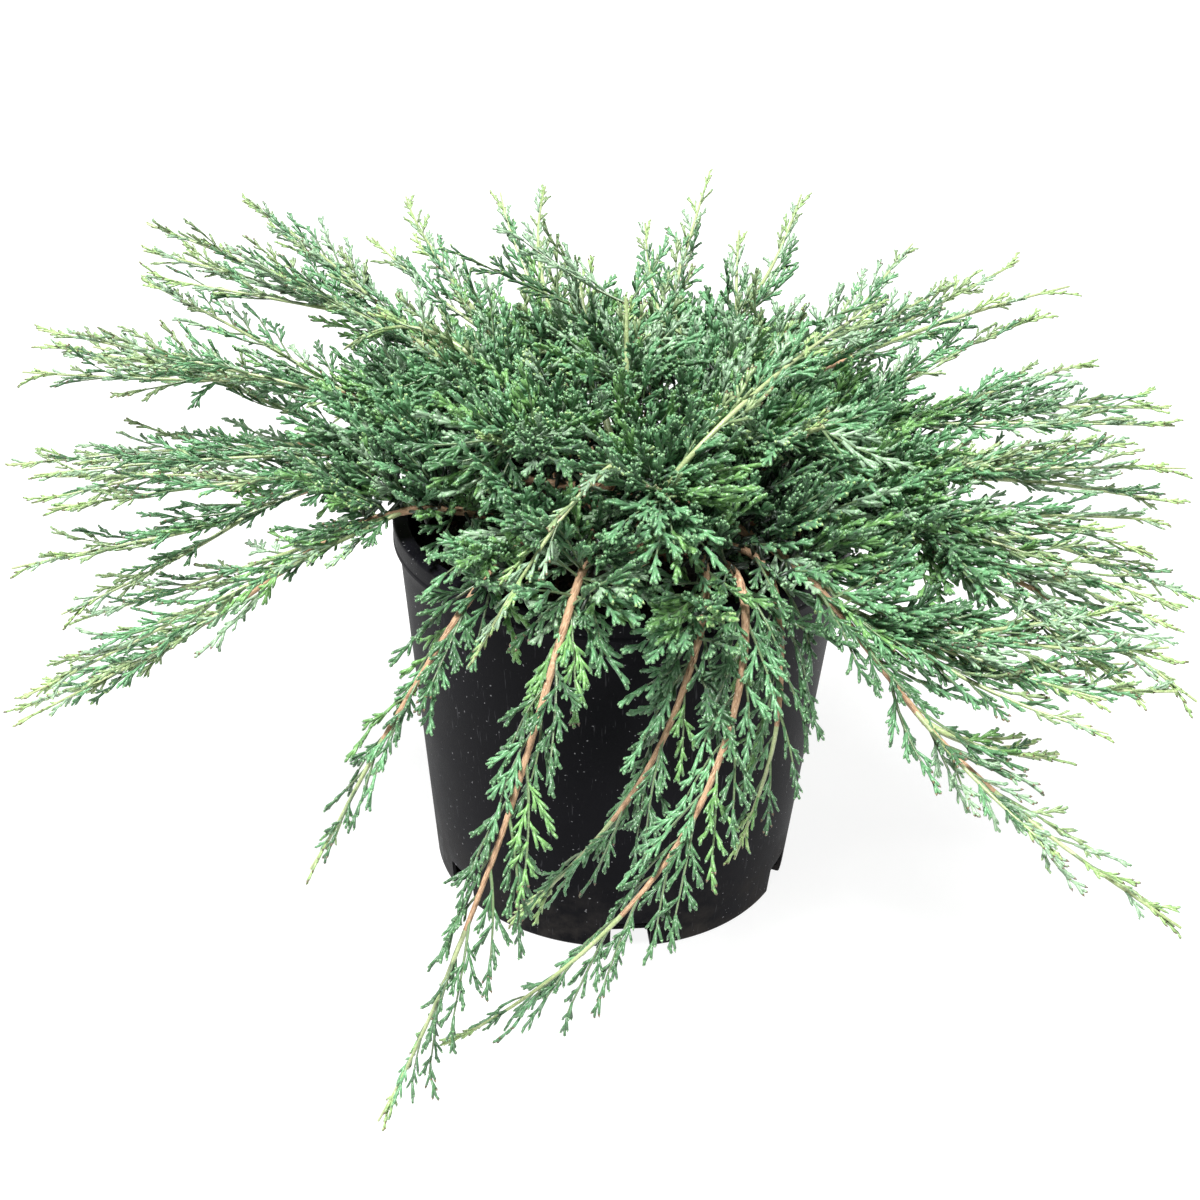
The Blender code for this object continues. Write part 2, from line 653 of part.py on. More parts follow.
    def fuse(self, stem, parts):
        """Join a mass into one closed solid and drop what it was made from."""
        union = stem.modifiers.new("union", "BOOLEAN")
        union.operation = "UNION"
        union.operand_type = "COLLECTION"
        union.collection = parts
        union.solver = "MANIFOLD"
        bpy.context.view_layer.update()
        graph = bpy.context.evaluated_depsgraph_get()
        fused = bpy.data.meshes.new_from_object(stem.evaluated_get(graph))
        stem.modifiers.clear()
        old = stem.data
        stem.data = whole_body(fused)
        stem.data.materials.clear()
        stem.data.materials.append(self.finish)
        bpy.data.meshes.remove(old)
        for obj in list(parts.objects):
            bpy.data.objects.remove(obj, do_unlink=True)
        bpy.data.collections.remove(parts)

    def finish_up(self):
        """Remove the shared pieces that the masses were made from."""
        for obj in list(self.work.objects):
            bpy.data.objects.remove(obj, do_unlink=True)
        bpy.data.collections.remove(self.work)


def whole_body(mesh):
    """The mesh with only its largest body: no scraps and no sealed hollows."""
    work = bmesh.new()
    work.from_mesh(mesh)
    bmesh.ops.triangulate(work, faces=work.faces)
    left = set(work.verts)
    bodies = []
    while left:
        body = {left.pop()}
        front = list(body)
        while front:
            vert = front.pop()
            fresh = {edge.other_vert(vert) for edge in vert.link_edges} - body
            body |= fresh
            front.extend(fresh)
        left -= body
        bodies.append(body)
    largest = max(bodies, key=len)
    scraps = [vert for body in bodies if body is not largest for vert in body]
    bmesh.ops.delete(work, geom=scraps, context="VERTS")
    work.to_mesh(mesh)
    work.free()
    return mesh


def make_plant(into, bark, foliage_finish):
    """The limbs, then the plume of each limb, then the crown tufts."""
    shoots = []
    bare_limbs = []
    starts = []
    for limb in LIMBS:
        bare, shoot, share = split_route(limb_route(limb), limb.leaf_from)
        radii = route_radius(share * np.linspace(0, 1, len(bare)))
        coarse, picked = thin_out(bare, LIMB_SECTIONS)
        tube(f"limb_{limb.name}", coarse, route_radius(share * picked), into, bark)
        shoots.append(shoot)
        bare_limbs.append((bare, radii))
        starts.append(share)
    crown_lines = [crown_route(crown) for crown in CROWNS]
    slack = [0] * len(shoots) + [CROWN_SPRAY_LENGTH] * len(crown_lines)
    space = Space(shoots + crown_lines, bare_limbs, slack)
    foliage = Foliage(into, space, foliage_finish)
    for owner, limb in enumerate(LIMBS):
        rng = random.Random(100 + owner)
        hanging = limb.tip < POT_HEIGHT and limb.reach < HANGING_REACH
        forks = 1 if limb.reach > FORKED_REACH else 0
        foliage.plume(f"plume_{limb.name}", owner, shoots[owner], starts[owner],
                      hanging, forks, rng)
    for k, crown in enumerate(CROWNS):
        rng = random.Random(200 + k)
        foliage.tuft(crown.name, len(LIMBS) + k, crown_lines[k], rng)
    foliage.finish_up()


def main():
    """Build the plant and its pot."""
    clear_scene()
    plant = collection("potted_juniper")
    cutters = collection("cutters")
    black_plastic = material("black_plastic", (0.028, 0.028, 0.034), 0.5)
    potting_mix = material("potting_mix", (0.030, 0.022, 0.016), 0.95)
    bark = material("bark", (0.36, 0.21, 0.12), 0.8)
    needles = material("needles", (0.11, 0.22, 0.14), 0.6)
    make_pot(plant, cutters, black_plastic)
    make_soil(plant, potting_mix)
    make_stem(plant, bark)
    make_plant(plant, bark, needles)


main()
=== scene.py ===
"""The finished potted juniper: foliage, bark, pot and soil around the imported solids.

Metres, +Z up, front at -Y. The limbs follow the same routes as the solids, and the
foliage grows on from them by the same rule, carried to finer twigs: a limb carries
shoots, a shoot carries sprigs, and a sprig carries fingers covered in scale leaves.
"""
import math
from collections import defaultdict, namedtuple

import bmesh
import bpy
import numpy as np
from mathutils import Matrix, Vector, noise


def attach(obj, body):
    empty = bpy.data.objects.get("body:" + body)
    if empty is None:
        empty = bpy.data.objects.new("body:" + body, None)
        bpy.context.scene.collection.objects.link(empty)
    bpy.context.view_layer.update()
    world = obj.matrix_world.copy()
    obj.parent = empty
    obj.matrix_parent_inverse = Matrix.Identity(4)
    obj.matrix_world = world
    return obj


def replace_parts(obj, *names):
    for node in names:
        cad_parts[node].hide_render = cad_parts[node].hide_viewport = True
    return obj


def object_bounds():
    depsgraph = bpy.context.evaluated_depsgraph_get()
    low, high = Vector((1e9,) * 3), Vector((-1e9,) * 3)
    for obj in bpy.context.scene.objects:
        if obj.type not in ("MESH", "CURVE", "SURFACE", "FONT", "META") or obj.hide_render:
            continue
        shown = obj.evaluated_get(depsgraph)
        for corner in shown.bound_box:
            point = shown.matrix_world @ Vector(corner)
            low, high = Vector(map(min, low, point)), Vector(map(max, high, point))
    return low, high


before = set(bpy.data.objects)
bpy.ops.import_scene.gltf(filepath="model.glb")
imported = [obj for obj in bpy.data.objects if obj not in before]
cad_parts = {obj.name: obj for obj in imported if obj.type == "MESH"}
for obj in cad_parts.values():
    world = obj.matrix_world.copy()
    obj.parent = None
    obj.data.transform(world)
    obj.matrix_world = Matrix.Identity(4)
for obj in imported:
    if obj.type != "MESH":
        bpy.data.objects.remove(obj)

cad_low, cad_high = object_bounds()

# How far the foliage may go past the solids
REACH_EXTRA = 0.008
REACH_LOW = np.array(cad_low) - REACH_EXTRA
REACH_HIGH = np.array(cad_high) + REACH_EXTRA

# Sizes of the pot and the soil, as in the solids
RIM_RADIUS = 0.140
WALL_TOP_RADIUS = 0.1368
BASE_RADIUS = 0.1173
POT_HEIGHT = 0.2435
WALL = 0.0024
POT_FLOOR = 0.003
LIP_HEIGHT = 0.014
LIP_WIDTH = 0.0095
LIP_BOTTOM = POT_HEIGHT - LIP_HEIGHT
LIP_INNER_RADIUS = RIM_RADIUS - LIP_WIDTH
NOTCH_COUNT = 6
NOTCH_FIRST = math.radians(277)
NOTCH_WIDTH = 0.025
NOTCH_HEIGHT = 0.020
NOTCH_DEPTH = 0.018
SOIL_EDGE_HEIGHT = 0.212
SOIL_CENTRE_HEIGHT = 0.2175

# Fine shape of the pot: rounded edges, and the groove and bead at the foot of its lip
LIP_INNER_ROUND = 0.0016
LIP_OUTER_ROUND = 0.0022
GROOVE_DEPTH = 0.0004
GROOVE_HEIGHT = 0.003
BEAD_HEIGHT = 0.0022
BEAD_ROUND = 0.0005
LIP_UNDERSIDE_STEP = 0.0006
LIP_UNDERSIDE_TOP = 0.0001
LIP_UNDERSIDE_FOOT = 0.0012
FLOOR_FILLET = 0.002
INSIDE_FROM = 0.02
OUTSIDE_TO = 0.006
OUTSIDE_BELOW_LIP = 0.01
FOOT_ROUND = 0.002
NOTCH_ROUND = 0.0012
POT_STEPS = 180
INSIDE_POINTS = 6
OUTSIDE_POINTS = 12
ROUND_POINTS = 5
MERGE_WITHIN = 1e-6
POT_SHARP_ANGLE = math.radians(28)

# Soil: its lumps, and the chips of bark that lie in it
SOIL_STEPS = 120
SOIL_RINGS = 44
SOIL_SIDE_POINTS = 6
SOIL_RADIUS = 0.132
LUMPY_RADIUS = 0.131
LUMPY_FROM = SOIL_EDGE_HEIGHT - 0.001
LUMP_SCALE = 90
LUMP_DETAIL = (0.9, 2.1, 4)
LUMP_HEIGHT = 0.0016
LUMP_DROP = 0.0012
LUMP_FADE = 0.01
CHIP_COUNT = 420
CHIP_RADII = (0.032, 0.126)
CHIP_THICK = (0.0010, 0.0028)
CHIP_LENGTH = (0.004, 0.011)
CHIP_FLATNESS = (1, 1, 0.25)
CHIP_SECTION = (1.6, 0.5, 1, 1)
CHIP_BEVEL = 0.12

# Sizes of the stem and the routes of the limbs, as in the solids, in which GAP is left
# between neighbours
GAP = 0.0003
SOIL_FOOT_HEIGHT = 0.022
SOIL_FOOT_STEP = 0.001
STEM_FLARE_RADIUS = 0.027
STEM_FOOT_RADIUS = 0.0155
STEM_TOP_RADIUS = 0.0120
STEM_TOP = 0.286
OVER_RADIUS = 0.144
LOWEST_TIER = 0.228
TIER_STEP = 0.010
LIMB_ROOT_RADIUS = 0.0034
SHOOT_TIP_RADIUS = 0.0007
TAPER_POWER = 0.8
STRAIGHT_END = 0.004
ROUTE_POINTS = 61
TOP_CROWN_LEAN = 0.3
TOP_CROWN_RISE = 0.04
CROWN_MIDDLE = (0.62, 0.45)
HANGING_REACH = 0.31

# Bark: the stem's flare and rounded top, how many points a limb has, the share of it
# that is bark, and each kind of twig's sides, relief and scale of relief
FLARE_HEIGHT = 0.004
STEM_CAP_HEIGHT = 0.006
STEM_CAP_LEAST = 0.1
STEM_POINTS = 30
LIMB_POINTS = 200
BARKED_RISING = 0.50
BARKED_LOW = 0.72
LOW_TIP = 0.2
CROWN_TAPER = (0.1, 0.7)
Bark = namedtuple("Bark", "sides relief scale")
LIMB_BARK = Bark(10, 0.0010, 320.0)
STEM_BARK = Bark(40, 0.0014, 160.0)
YOUNG_BARK = Bark(6, 0.0004, 420.0)
TWIG_BARK = Bark(3, 0.0, 100.0)
BARK_MAP_SCALE = 100.0

# How far leaves keep from the pot and from the floor
KEEP_CLEAR = 0.0012
FLOOR_CLEAR = 0.002

# Fingers: a pair gives the amount in the bush, over the pot, and at the slim tips. Along
# a sprig they lean less and less, and are longest a third of the way. From here on, MORE
# is a length added to each, and VARIES is the range of a random factor.
FINGER_PITCH = (0.0034, 0.0030)
FINGER_LONGEST = (0.0150, 0.0078)
FINGER_THICK = (0.00140, 0.00084)
FINGER_LEAN = (0.44, 0.38)
FINGERS_LEAST = 3
FIRST_FINGER = 0.6
FINGER_ROLL = 0.5
LEAN_AT_ROOT = 1.1
LEAN_LOST = 0.45
LEAN_VARIES = (0.8, 1.15)
SWELL_FROM = 0.25
SWELL_SPAN = 0.70
SWELL_POWER = 0.8
FINGER_OF_SPRIG = 0.42
FINGER_MORE = 0.0015
FINGER_VARIES = (0.75, 1.15)
FINGER_LEAST = 0.0034
FINGER_THIN = 0.95
# A long finger has a second one at its side
SECOND_FROM = 0.0098
SECOND_PLACE = 0.45
SECOND_LEAN = 0.48
SECOND_SCATTER = 0.12
SECOND_LENGTH = 0.48
SECOND_THICK = 0.88
AXIS_STEP = 0.0090
AXIS_OVERLAP = 1.12

# Sprigs on a shoot, in pairs as above where bush and tips differ
SPRIG_PITCH = 0.0092
SPRIG_FIRST = (0.7, 1.3)
SPRIG_SPACING = (0.8, 1.2)
SPRIG_MOST = 0.035
SPRIG_LEAST = 0.010
SPRIG_MORE = 0.007
SPRIG_VARIES = (0.8, 1.1)
SPRIG_LEAN = (0.54, 0.34)
SPRIG_LEAN_VARIES = (0.75, 1.2)
SPRIG_SHARE = (0.58, 0.30)
SPRIG_BEND = 0.14
SPRIG_ROLL = 0.8
SPRIG_SCATTER = 0.4
LONE_FINGER = 0.004
END_MARGIN = 0.006
END_SPRIG = 0.018
END_ROLL = (0.9, 2.2)
LOOK_AHEAD = 0.004
NEARLY_UPRIGHT = 0.995

# Shoots: the least length, where on a limb they start, how they sway and thicken
SHOOT_LEAST = 0.020
SHOOT_START = 0.125
SHOOT_STEPS = 5
SHOOT_STEP = 0.02
SHOOT_SWAY = 0.08
SWAY_BACK = 0.35
TWIG_RADII = (0.0010, 0.0005)
TWIG_MOST = 1.1
TWIG_BASE = 0.6
TWIG_FULL_LENGTH = 0.1

# Shoots along a limb: size, roll, lean and pull, and the sprig at its end
LIMB_END_MARGIN = 0.012
SLIM_FROM = 0.15
SLIM_SPAN = 0.95
SHOOT_MORE = 0.008
SHOOT_VARIES = (0.7, 1.12)
SHOOT_SPACING = (0.75, 1.25)
SHOOT_CLOSER = 0.3
HANGING_ROLL = (-0.6, 0.6)
UPWARD_ROLL = (-0.4, 0.9)
SHOOT_LEAN = (0.36, 0.60)
SHOOT_LEAN_LOST = 0.14
HANGING_PULL = -0.25
UPWARD_PULL = 0.10
PULL_AHEAD = 0.25
BROWN_SHARE = 0.50
SIDE_SCATTER = 0.3
SHOOT_LOOK_AHEAD = 0.005
LEADER_BACK = 0.024
LEADER = 0.026
LEADER_ROLL = (1.0, 2.0)
LIMB_BASE = 0.15

# Old leaves inside the plant, in a near-black colour that paints the shade there: spacing and size on
# limbs, crowns and shoots
OLD_DEPTH = 0.020
OLD_THICK = 0.11
OLD_RISE = (0, 0, 0.35)
OLD_FIRST = 0.3
OLD_VARIES = (0.7, 1.2)
OLD_ON_LIMBS = (0.0024, 0.012)
OLD_ON_CROWNS = (0.004, 0.014)
OLD_ON_SHOOTS = (0.0034, 0.0115)
OLD_LIMB_RADII = (0.03, 0.14)

# The dome over the pot, and the taller spires on its back
DOME_TOP = 0.347
DOME_EDGE_FRONT = 0.272
DOME_EDGE_BACK = 0.300
DOME_RADIUS = 0.186
DOME_POWER = 2.2
DOME_SHOOTS = 460
DOME_SHOOT_LEAFY = 0.050
DOME_SPREAD = 0.46
DOME_TURN_VARIES = 0.1
DOME_HEIGHT_VARIES = 0.006
DOME_PULL = 0.30
GOLDEN_TURN = math.pi * (3 - math.sqrt(5))
SPIRE_SHARE = 0.14
SPIRE_FROM = 0.06
SPIRE_BEHIND = 0.1
SPIRE_RISE = (0.020, 0.045)
SPIRE_LEAFY = 1.7
SPIRE_SLIM = 0.7
# A shoot of the dome starts at the nearest point of a limb, where points that aren't
# well below its tip, or far from a share of its radius, count as further away
ROOT_BELOW = 0.022
ROOT_FAR = 0.1
ROOT_INWARD = 0.75
ROOT_RADIAL = 0.6
# How far out the dome's shoots count for their finishes: more of them are pale behind
PALE_BEHIND = 1.1
DEEP_LOOK = 0.2
PALE_LOOK = 0.6
# The dome is open over the rim at front left, and over the limbs that hang in front
OPEN_AZIMUTHS = (206, 245)
OPEN_RADIUS = 0.118
VIEW_RADII = (0.132, 0.200)
VIEW_CLEAR = 0.009

# Tufts that hide the soil and lean over the rim
Skirt = namedtuple("Skirt", "count azimuths radii low")
SKIRTS = (
    Skirt(165, (248, 352), (0.050, 0.166), 0.236),
    Skirt(140, (0, 215), (0.060, 0.166), 0.236),
    Skirt(70, (160, 236), (0.030, 0.125), 0.236),
    Skirt(36, (310, 354), (0.140, 0.214), 0.236),
    Skirt(34, (256, 306), (0.148, 0.180), 0.206),
)
SKIRT_LOW_INSIDE = 0.246
SKIRT_ROOT_LEAST = 0.035
SKIRT_ROOT_INSIDE = 0.016
SKIRT_NEAREST = 0.018
SKIRT_RISE = 0.3
SKIRT_OUTWARD = 0.35
SKIRT_PULL = 0.2
SKIRT_LEAST = 0.034

# How wide a limb's foliage is: the length of its shoots as a share of what is left of
# the limb, the longest of them, how far apart they stand, and how much paler it is
Habit = namedtuple("Habit", "share most pitch hangs light")
SPREADING = Habit(0.29, 0.052, 0.0115, False, 0.0)
BUSHY = Habit(0.32, 0.054, 0.0113, False, 0.0)
SPIRE = Habit(0.16, 0.028, 0.0105, False, 0.20)
HANGING = Habit(0.32, 0.048, 0.0148, True, 0.0)
DROOPING = Habit(0.34, 0.060, 0.0200, False, 0.0)
FORKED = Habit(0.24, 0.034, 0.0115, False, 0.0)
SIDEWAYS = Habit(0.28, 0.046, 0.0112, False, 0.0)
SLENDER = Habit(0.20, 0.026, 0.0115, False, 0.30)
CROWNING = Habit(0.44, 0.038, 0.0080, False, 0.10)
BUSHY_REACH = 0.37
BARE_FROM = 0.15
SPIRE_TIP = 0.34
CROWN_LEAFY = 0.24
CROWN_BASE = 0.3

# Where a limb forks, as a share of its leafy stretch, and the fork's share of the rest
FORKS = {
    SPREADING: ((0.04, 0.82), (0.18, 0.88), (0.40, 0.84)),
    BUSHY: ((0.02, 0.82), (0.14, 0.90), (0.34, 0.86)),
    SPIRE: ((0.10, 0.70),),
    SIDEWAYS: ((0.10, 0.72), (0.22, 0.78), (0.40, 0.80)),
    DROOPING: ((0.16, 0.45), (0.42, 0.62)),
}
FORK_RADII = (0.0014, 0.0006)
FORK_POINTS = 24
FORK_CLEAR = 0.004
FORK_ROLL = (-0.2, 0.7)
FORK_LEAN = (0.34, 0.50)
FORK_KNEE = 0.45
FORK_OUTWARD = 0.62
FORK_APART = 0.2
FORK_FIRST = 0.014
FORK_BASE = 0.45
FORK_LOOK_AHEAD = 0.006

# Long side limbs: where each leaves its limb, as a share of that line, its furthest tip,
# and how far its middle is lifted
SideLimb = namedtuple("SideLimb", "limb share azimuth reach tip lift habit")
SIDE_LIMBS = (
    SideLimb("right_droop", 0.41, -29, 0.336, 0.226, 0.0, SIDEWAYS),
    SideLimb("right_droop", 0.36, -25, 0.325, 0.238, 0.0, SIDEWAYS),
    SideLimb("right_droop", 0.60, -36, 0.292, 0.190, 0.0, SIDEWAYS),
    SideLimb("crown_front", 0.75, 30, 0.182, 0.352, 0.040, SLENDER),
    SideLimb("crown_front", 0.45, -112, 0.198, 0.240, 0.085, SLENDER),
    SideLimb("crown_left", 0.35, 160, 0.190, 0.318, 0.060, SLENDER),
)
SIDE_RADII = (0.0020, 0.0007)
SIDE_POINTS = 40
SIDE_KNEE = (0.28, 0.22)
SIDE_FIRST = 0.012

Limb = namedtuple("Limb", "name azimuth reach tip over bulge turn tier leaf_from")
Crown = namedtuple("Crown", "name azimuth reach tip tier")

# Azimuths in degrees from +X towards +Y, so the front is -90. Reach and tip are the
# radius and height of the furthest tip, over is the height at which a limb passes the
# rim, bulge lifts the middle of the outer stretch, turn swings the root round from the
# tip, tier counts the heights at which limbs leave the stem, and leaf_from is the radius
# where the foliage starts in the solids.
LIMBS = (
    Limb("left_low", 190, 0.374, 0.124, 0.262, 0.002, 14, 1, 0.145),
    Limb("left_mid", 184, 0.374, 0.202, 0.266, -0.008, -4, 3, 0.140),
    Limb("left_long", 171, 0.408, 0.231, 0.264, 0.004, -4, 0, 0.135),
    Limb("left_upper", 160, 0.425, 0.286, 0.290, 0.006, 6, 2, 0.120),
    Limb("left_rising", 149, 0.400, 0.336, 0.305, 0.004, -6, 4, 0.110),
    Limb("back_left", 137, 0.360, 0.348, 0.300, 0.006, 4, 1, 0.110),
    Limb("back_left_low", 128, 0.330, 0.165, 0.262, 0.026, -14, 0, 0.130),
    Limb("back_left_high", 121, 0.325, 0.362, 0.312, 0.004, 8, 3, 0.110),
    Limb("back_tall", 103, 0.290, 0.372, 0.318, -0.002, 10, 2, 0.100),
    Limb("back_low", 92, 0.320, 0.125, 0.262, 0.030, -4, 4, 0.130),
    Limb("back_spire", 79, 0.280, 0.385, 0.318, -0.004, 2, 1, 0.100),
    Limb("back_right_tall", 62, 0.245, 0.388, 0.330, -0.004, -4, 3, 0.095),
    Limb("back_right_low", 53, 0.325, 0.170, 0.262, 0.026, -6, 0, 0.130),
    Limb("right_rising", 39, 0.350, 0.346, 0.305, 0.004, -4, 2, 0.110),
    Limb("right_upper", 27, 0.325, 0.350, 0.310, 0.002, 6, 4, 0.110),
    Limb("right_high", 14, 0.360, 0.290, 0.285, 0.006, 2, 1, 0.115),
    Limb("right_long", 3, 0.345, 0.254, 0.272, 0.008, -4, 3, 0.120),
    Limb("right_mid", -8, 0.345, 0.222, 0.262, 0.010, -2, 0, 0.120),
    Limb("right_low", -22, 0.345, 0.200, 0.266, 0.008, 6, 2, 0.130),
    Limb("right_droop", -41.6, 0.382, 0.143, 0.264, -0.010, -8, 4, 0.160),
    Limb("front_right", -68, 0.184, 0.112, 0.260, 0.014, 16, 1, 0.100),
    Limb("front_bright", -109, 0.176, 0.058, 0.262, 0.020, 44, 3, 0.105),
    Limb("front_long", -109, 0.262, 0.040, 0.260, 0.020, 52, 0, 0.110),
    Limb("front_trailing", -113, 0.300, 0.012, 0.270, 0.034, 16, 2, 0.120),
    Limb("front_left", -131, 0.250, 0.108, 0.262, 0.018, 14, 4, 0.120),
)
CROWNS = (
    Crown("crown_top", 95, 0.030, 0.368, 6),
    Crown("crown_front", 280, 0.135, 0.312, 5),
    Crown("crown_front_left", 230, 0.118, 0.328, 5),
    Crown("crown_left", 176, 0.125, 0.345, 5),
    Crown("crown_back", 108, 0.115, 0.362, 5),
    Crown("crown_right", 30, 0.125, 0.352, 5),
    Crown("crown_front_right", 326, 0.130, 0.332, 5),
)

# Leaf and tip finishes by how far out a shoot stands, with their weights: the first row
# that the shoot is beyond holds
Spread = namedtuple("Spread", "beyond leaves tips")
LOOKS = (
    Spread(0.80, {"leaf_lime": 0.24, "leaf_olive": 0.38, "leaf_grey": 0.38},
           {"tip_lime": 0.4, "tip_fresh": 0.6}),
    Spread(0.45, {"leaf_blue": 0.30, "leaf_grey": 0.28, "leaf_deep": 0.20, "leaf_olive": 0.22},
           {"tip_lime": 0.2, "tip_fresh": 0.8}),
    Spread(0.0, {"leaf_blue": 0.31, "leaf_deep": 0.35, "leaf_green": 0.25, "leaf_grey": 0.09},
           {"tip_lime": 0.04, "tip_fresh": 0.32, "tip_soft": 0.64}),
)
HANGING_LOOKS = (
    Spread(0.80, {"leaf_deep": 0.10, "leaf_blue": 0.34, "leaf_green": 0.20, "leaf_lime": 0.36},
           {"tip_fresh": 0.3, "tip_soft": 0.7}),
    Spread(0.0, {"leaf_deep": 0.58, "leaf_blue": 0.30, "leaf_green": 0.12},
           {"tip_fresh": 0.3, "tip_soft": 0.7}),
)
Look = namedtuple("Look", "leaf tip slim")
LEADER_LOOK = Look("leaf_lime", "tip_brown", 1.0)

# Base colours of each leaf finish, the shade that it drifts to, and its waxy bloom
LEAF_TONES = {
    # The first finish is the near-black of the old leaves inside the plant: painted shade
    "leaf_shade": ((0.017, 0.040, 0.020), (0.013, 0.019, 0.011), 0.0),
    "leaf_deep": ((0.060, 0.172, 0.060), (0.032, 0.096, 0.034), 0.12),
    "leaf_blue": ((0.130, 0.332, 0.142), (0.080, 0.212, 0.090), 0.12),
    "leaf_grey": ((0.315, 0.460, 0.290), (0.175, 0.300, 0.175), 0.20),
    "leaf_green": ((0.168, 0.368, 0.100), (0.094, 0.230, 0.062), 0.12),
    "leaf_olive": ((0.270, 0.375, 0.165), (0.150, 0.225, 0.095), 0.12),
    "leaf_lime": ((0.350, 0.510, 0.185), (0.220, 0.360, 0.125), 0.12),
    "tip_fresh": ((0.205, 0.390, 0.175), (0.150, 0.310, 0.140), 0.12),
    "tip_soft": ((0.150, 0.320, 0.130), (0.105, 0.240, 0.092), 0.12),
    "tip_lime": ((0.360, 0.520, 0.200), (0.270, 0.420, 0.150), 0.12),
    "tip_brown": ((0.190, 0.130, 0.060), (0.090, 0.065, 0.035), 0.05),
    "young_wood": ((0.400, 0.460, 0.230), (0.250, 0.330, 0.130), 0.1),
    "twig_green": ((0.150, 0.235, 0.100), (0.085, 0.130, 0.055), 0.1),
}
BLOOM_GAIN = 1.35
BLOOM_LIFT = 0.090
BLOOM_SHEEN = (0.80, 0.92, 0.90, 1.0)
BARK_DEEP = (0.170, 0.085, 0.045)
BARK_MID = (0.480, 0.300, 0.175)
BARK_PALE = (0.680, 0.510, 0.350)
POT_BLACK = (0.0030, 0.0030, 0.0044)
POT_WORN = (0.0062, 0.0060, 0.0082)
POT_SCRATCH = (0.10, 0.10, 0.11)
POT_SPECK = (0.42, 0.42, 0.44)
POT_DIRT = (0.085, 0.075, 0.066)
POT_DIRT_HEIGHT = 0.055
PEAT_DARK = (0.003, 0.0026, 0.0022)
PEAT_BROWN = (0.018, 0.013, 0.009)
PEAT_FIBRE = (0.030, 0.019, 0.012)
CHIP_DARK = (0.022, 0.012, 0.007)
CHIP_RED = (0.110, 0.062, 0.034)

# Pieces: how many fingers or tips each holds at most, their shapes and the seeds
FINGERS_A_PIECE = 18000
TIPS_A_PIECE = 45000
FINGER_RINGS = ((0, 0.78), (0.85, 1.0), 0.98)
TIP_RINGS = ((0.84,), (1.02,), 1.05)
GROWTH_SEED = 11
FINGER_SEED = 20
SOIL_SEED = 5
CHIP_SEED = 3

# The camera, the floor and the light
CAMERA_PLACE = (0, -0.881, 0.650)
CAMERA_PITCH = math.radians(28.02)
CAMERA_YAW = math.radians(-0.80)
CAMERA_ROLL = math.radians(1.71)
CAMERA_SENSOR = 36.0
CAMERA_LENS = 47.46
CAMERA_NEAR = 0.01
STAGE_RADIUS = 19.0
STAGE_RIM_HEIGHT = 3.0
STAGE_STEPS = 96
STAGE_GREY = (0.20, 0.20, 0.20, 1.0)
STAGE_GLOW = 0.90
WHITE = (1.0, 1.0, 1.0, 1.0)
SKY_STRENGTH = 0.15
SUN_STRENGTH = 7.9
SUN_WIDTH = math.radians(22)
SUN_FROM = (-0.15, -0.24, 0.96)


# Building blocks for shader and geometry trees


def add_node(tree, kind, props=None, values=None):
    """A node with its properties and the values of its unlinked inputs."""
    node = tree.nodes.new(kind)
    for key, value in (props or {}).items():
        setattr(node, key, value)
    for key, value in (values or {}).items():
        node.inputs[key].default_value = value
    return node


def join(tree, *links):
    """Links, each given as a node and its output, then a node and its input."""
    for source, output, target, entry in links:
        tree.links.new(source.outputs[output], target.inputs[entry])


def noise_node(tree, place, scale, detail=4.0, roughness=0.55):
    """A noise texture on the given coordinates."""
    node = add_node(tree, "ShaderNodeTexNoise", None,
                    {"Scale": scale, "Detail": detail, "Roughness": roughness})
    tree.links.new(place, node.inputs["Vector"])
    return node.outputs["Fac"]


def mapped(tree, place, scale, turn=(0, 0, 0)):
    """Coordinates stretched by a scale, then turned."""
    node = add_node(tree, "ShaderNodeMapping", None, {"Scale": scale, "Rotation": turn})
    tree.links.new(place, node.inputs["Vector"])
    return node.outputs["Vector"]


def band(tree, value, low, high, out_low=0.0, out_high=1.0):
    """The value mapped from one range to another, held at the ends."""
    node = add_node(tree, "ShaderNodeMapRange", {"clamp": True},
                    {"From Min": low, "From Max": high, "To Min": out_low, "To Max": out_high})
    tree.links.new(value, node.inputs["Value"])
    return node.outputs["Result"]


def blend_colours(tree, share, first, second):
    """Two colours or colour outputs blended by a share."""
    node = add_node(tree, "ShaderNodeMix", {"data_type": "RGBA"})
    tree.links.new(share, node.inputs[0])
    for socket, value in ((6, first), (7, second)):
        if isinstance(value, tuple):
            node.inputs[socket].default_value = (*value, 1.0)
        else:
            tree.links.new(value, node.inputs[socket])
    return node.outputs[2]


def combine(tree, operation, first, second):
    """A math node on an output and another output or a number."""
    node = add_node(tree, "ShaderNodeMath", {"operation": operation})
    tree.links.new(first, node.inputs[0])
    if isinstance(second, float):
        node.inputs[1].default_value = second
    else:
        tree.links.new(second, node.inputs[1])
    return node.outputs[0]


def bump(tree, height, distance, strength):
    """A bump from a height output."""
    node = add_node(tree, "ShaderNodeBump", None, {"Distance": distance, "Strength": strength})
    tree.links.new(height, node.inputs["Height"])
    return node.outputs["Normal"]


def blank_material(name):
    """A material with its tree, its shader and Object coordinates."""
    new = bpy.data.materials.new(name)
    new.use_nodes = True
    tree = new.node_tree
    coordinates = add_node(tree, "ShaderNodeTexCoord")
    return new, tree, tree.nodes["Principled BSDF"], coordinates.outputs["Object"]


def finish_shader(tree, shader, outputs, numbers=None):
    """Link outputs to the shader's sockets, and set its plain numbers."""
    for socket, output in outputs.items():
        tree.links.new(output, shader.inputs[socket])
    for socket, number in (numbers or {}).items():
        shader.inputs[socket].default_value = number


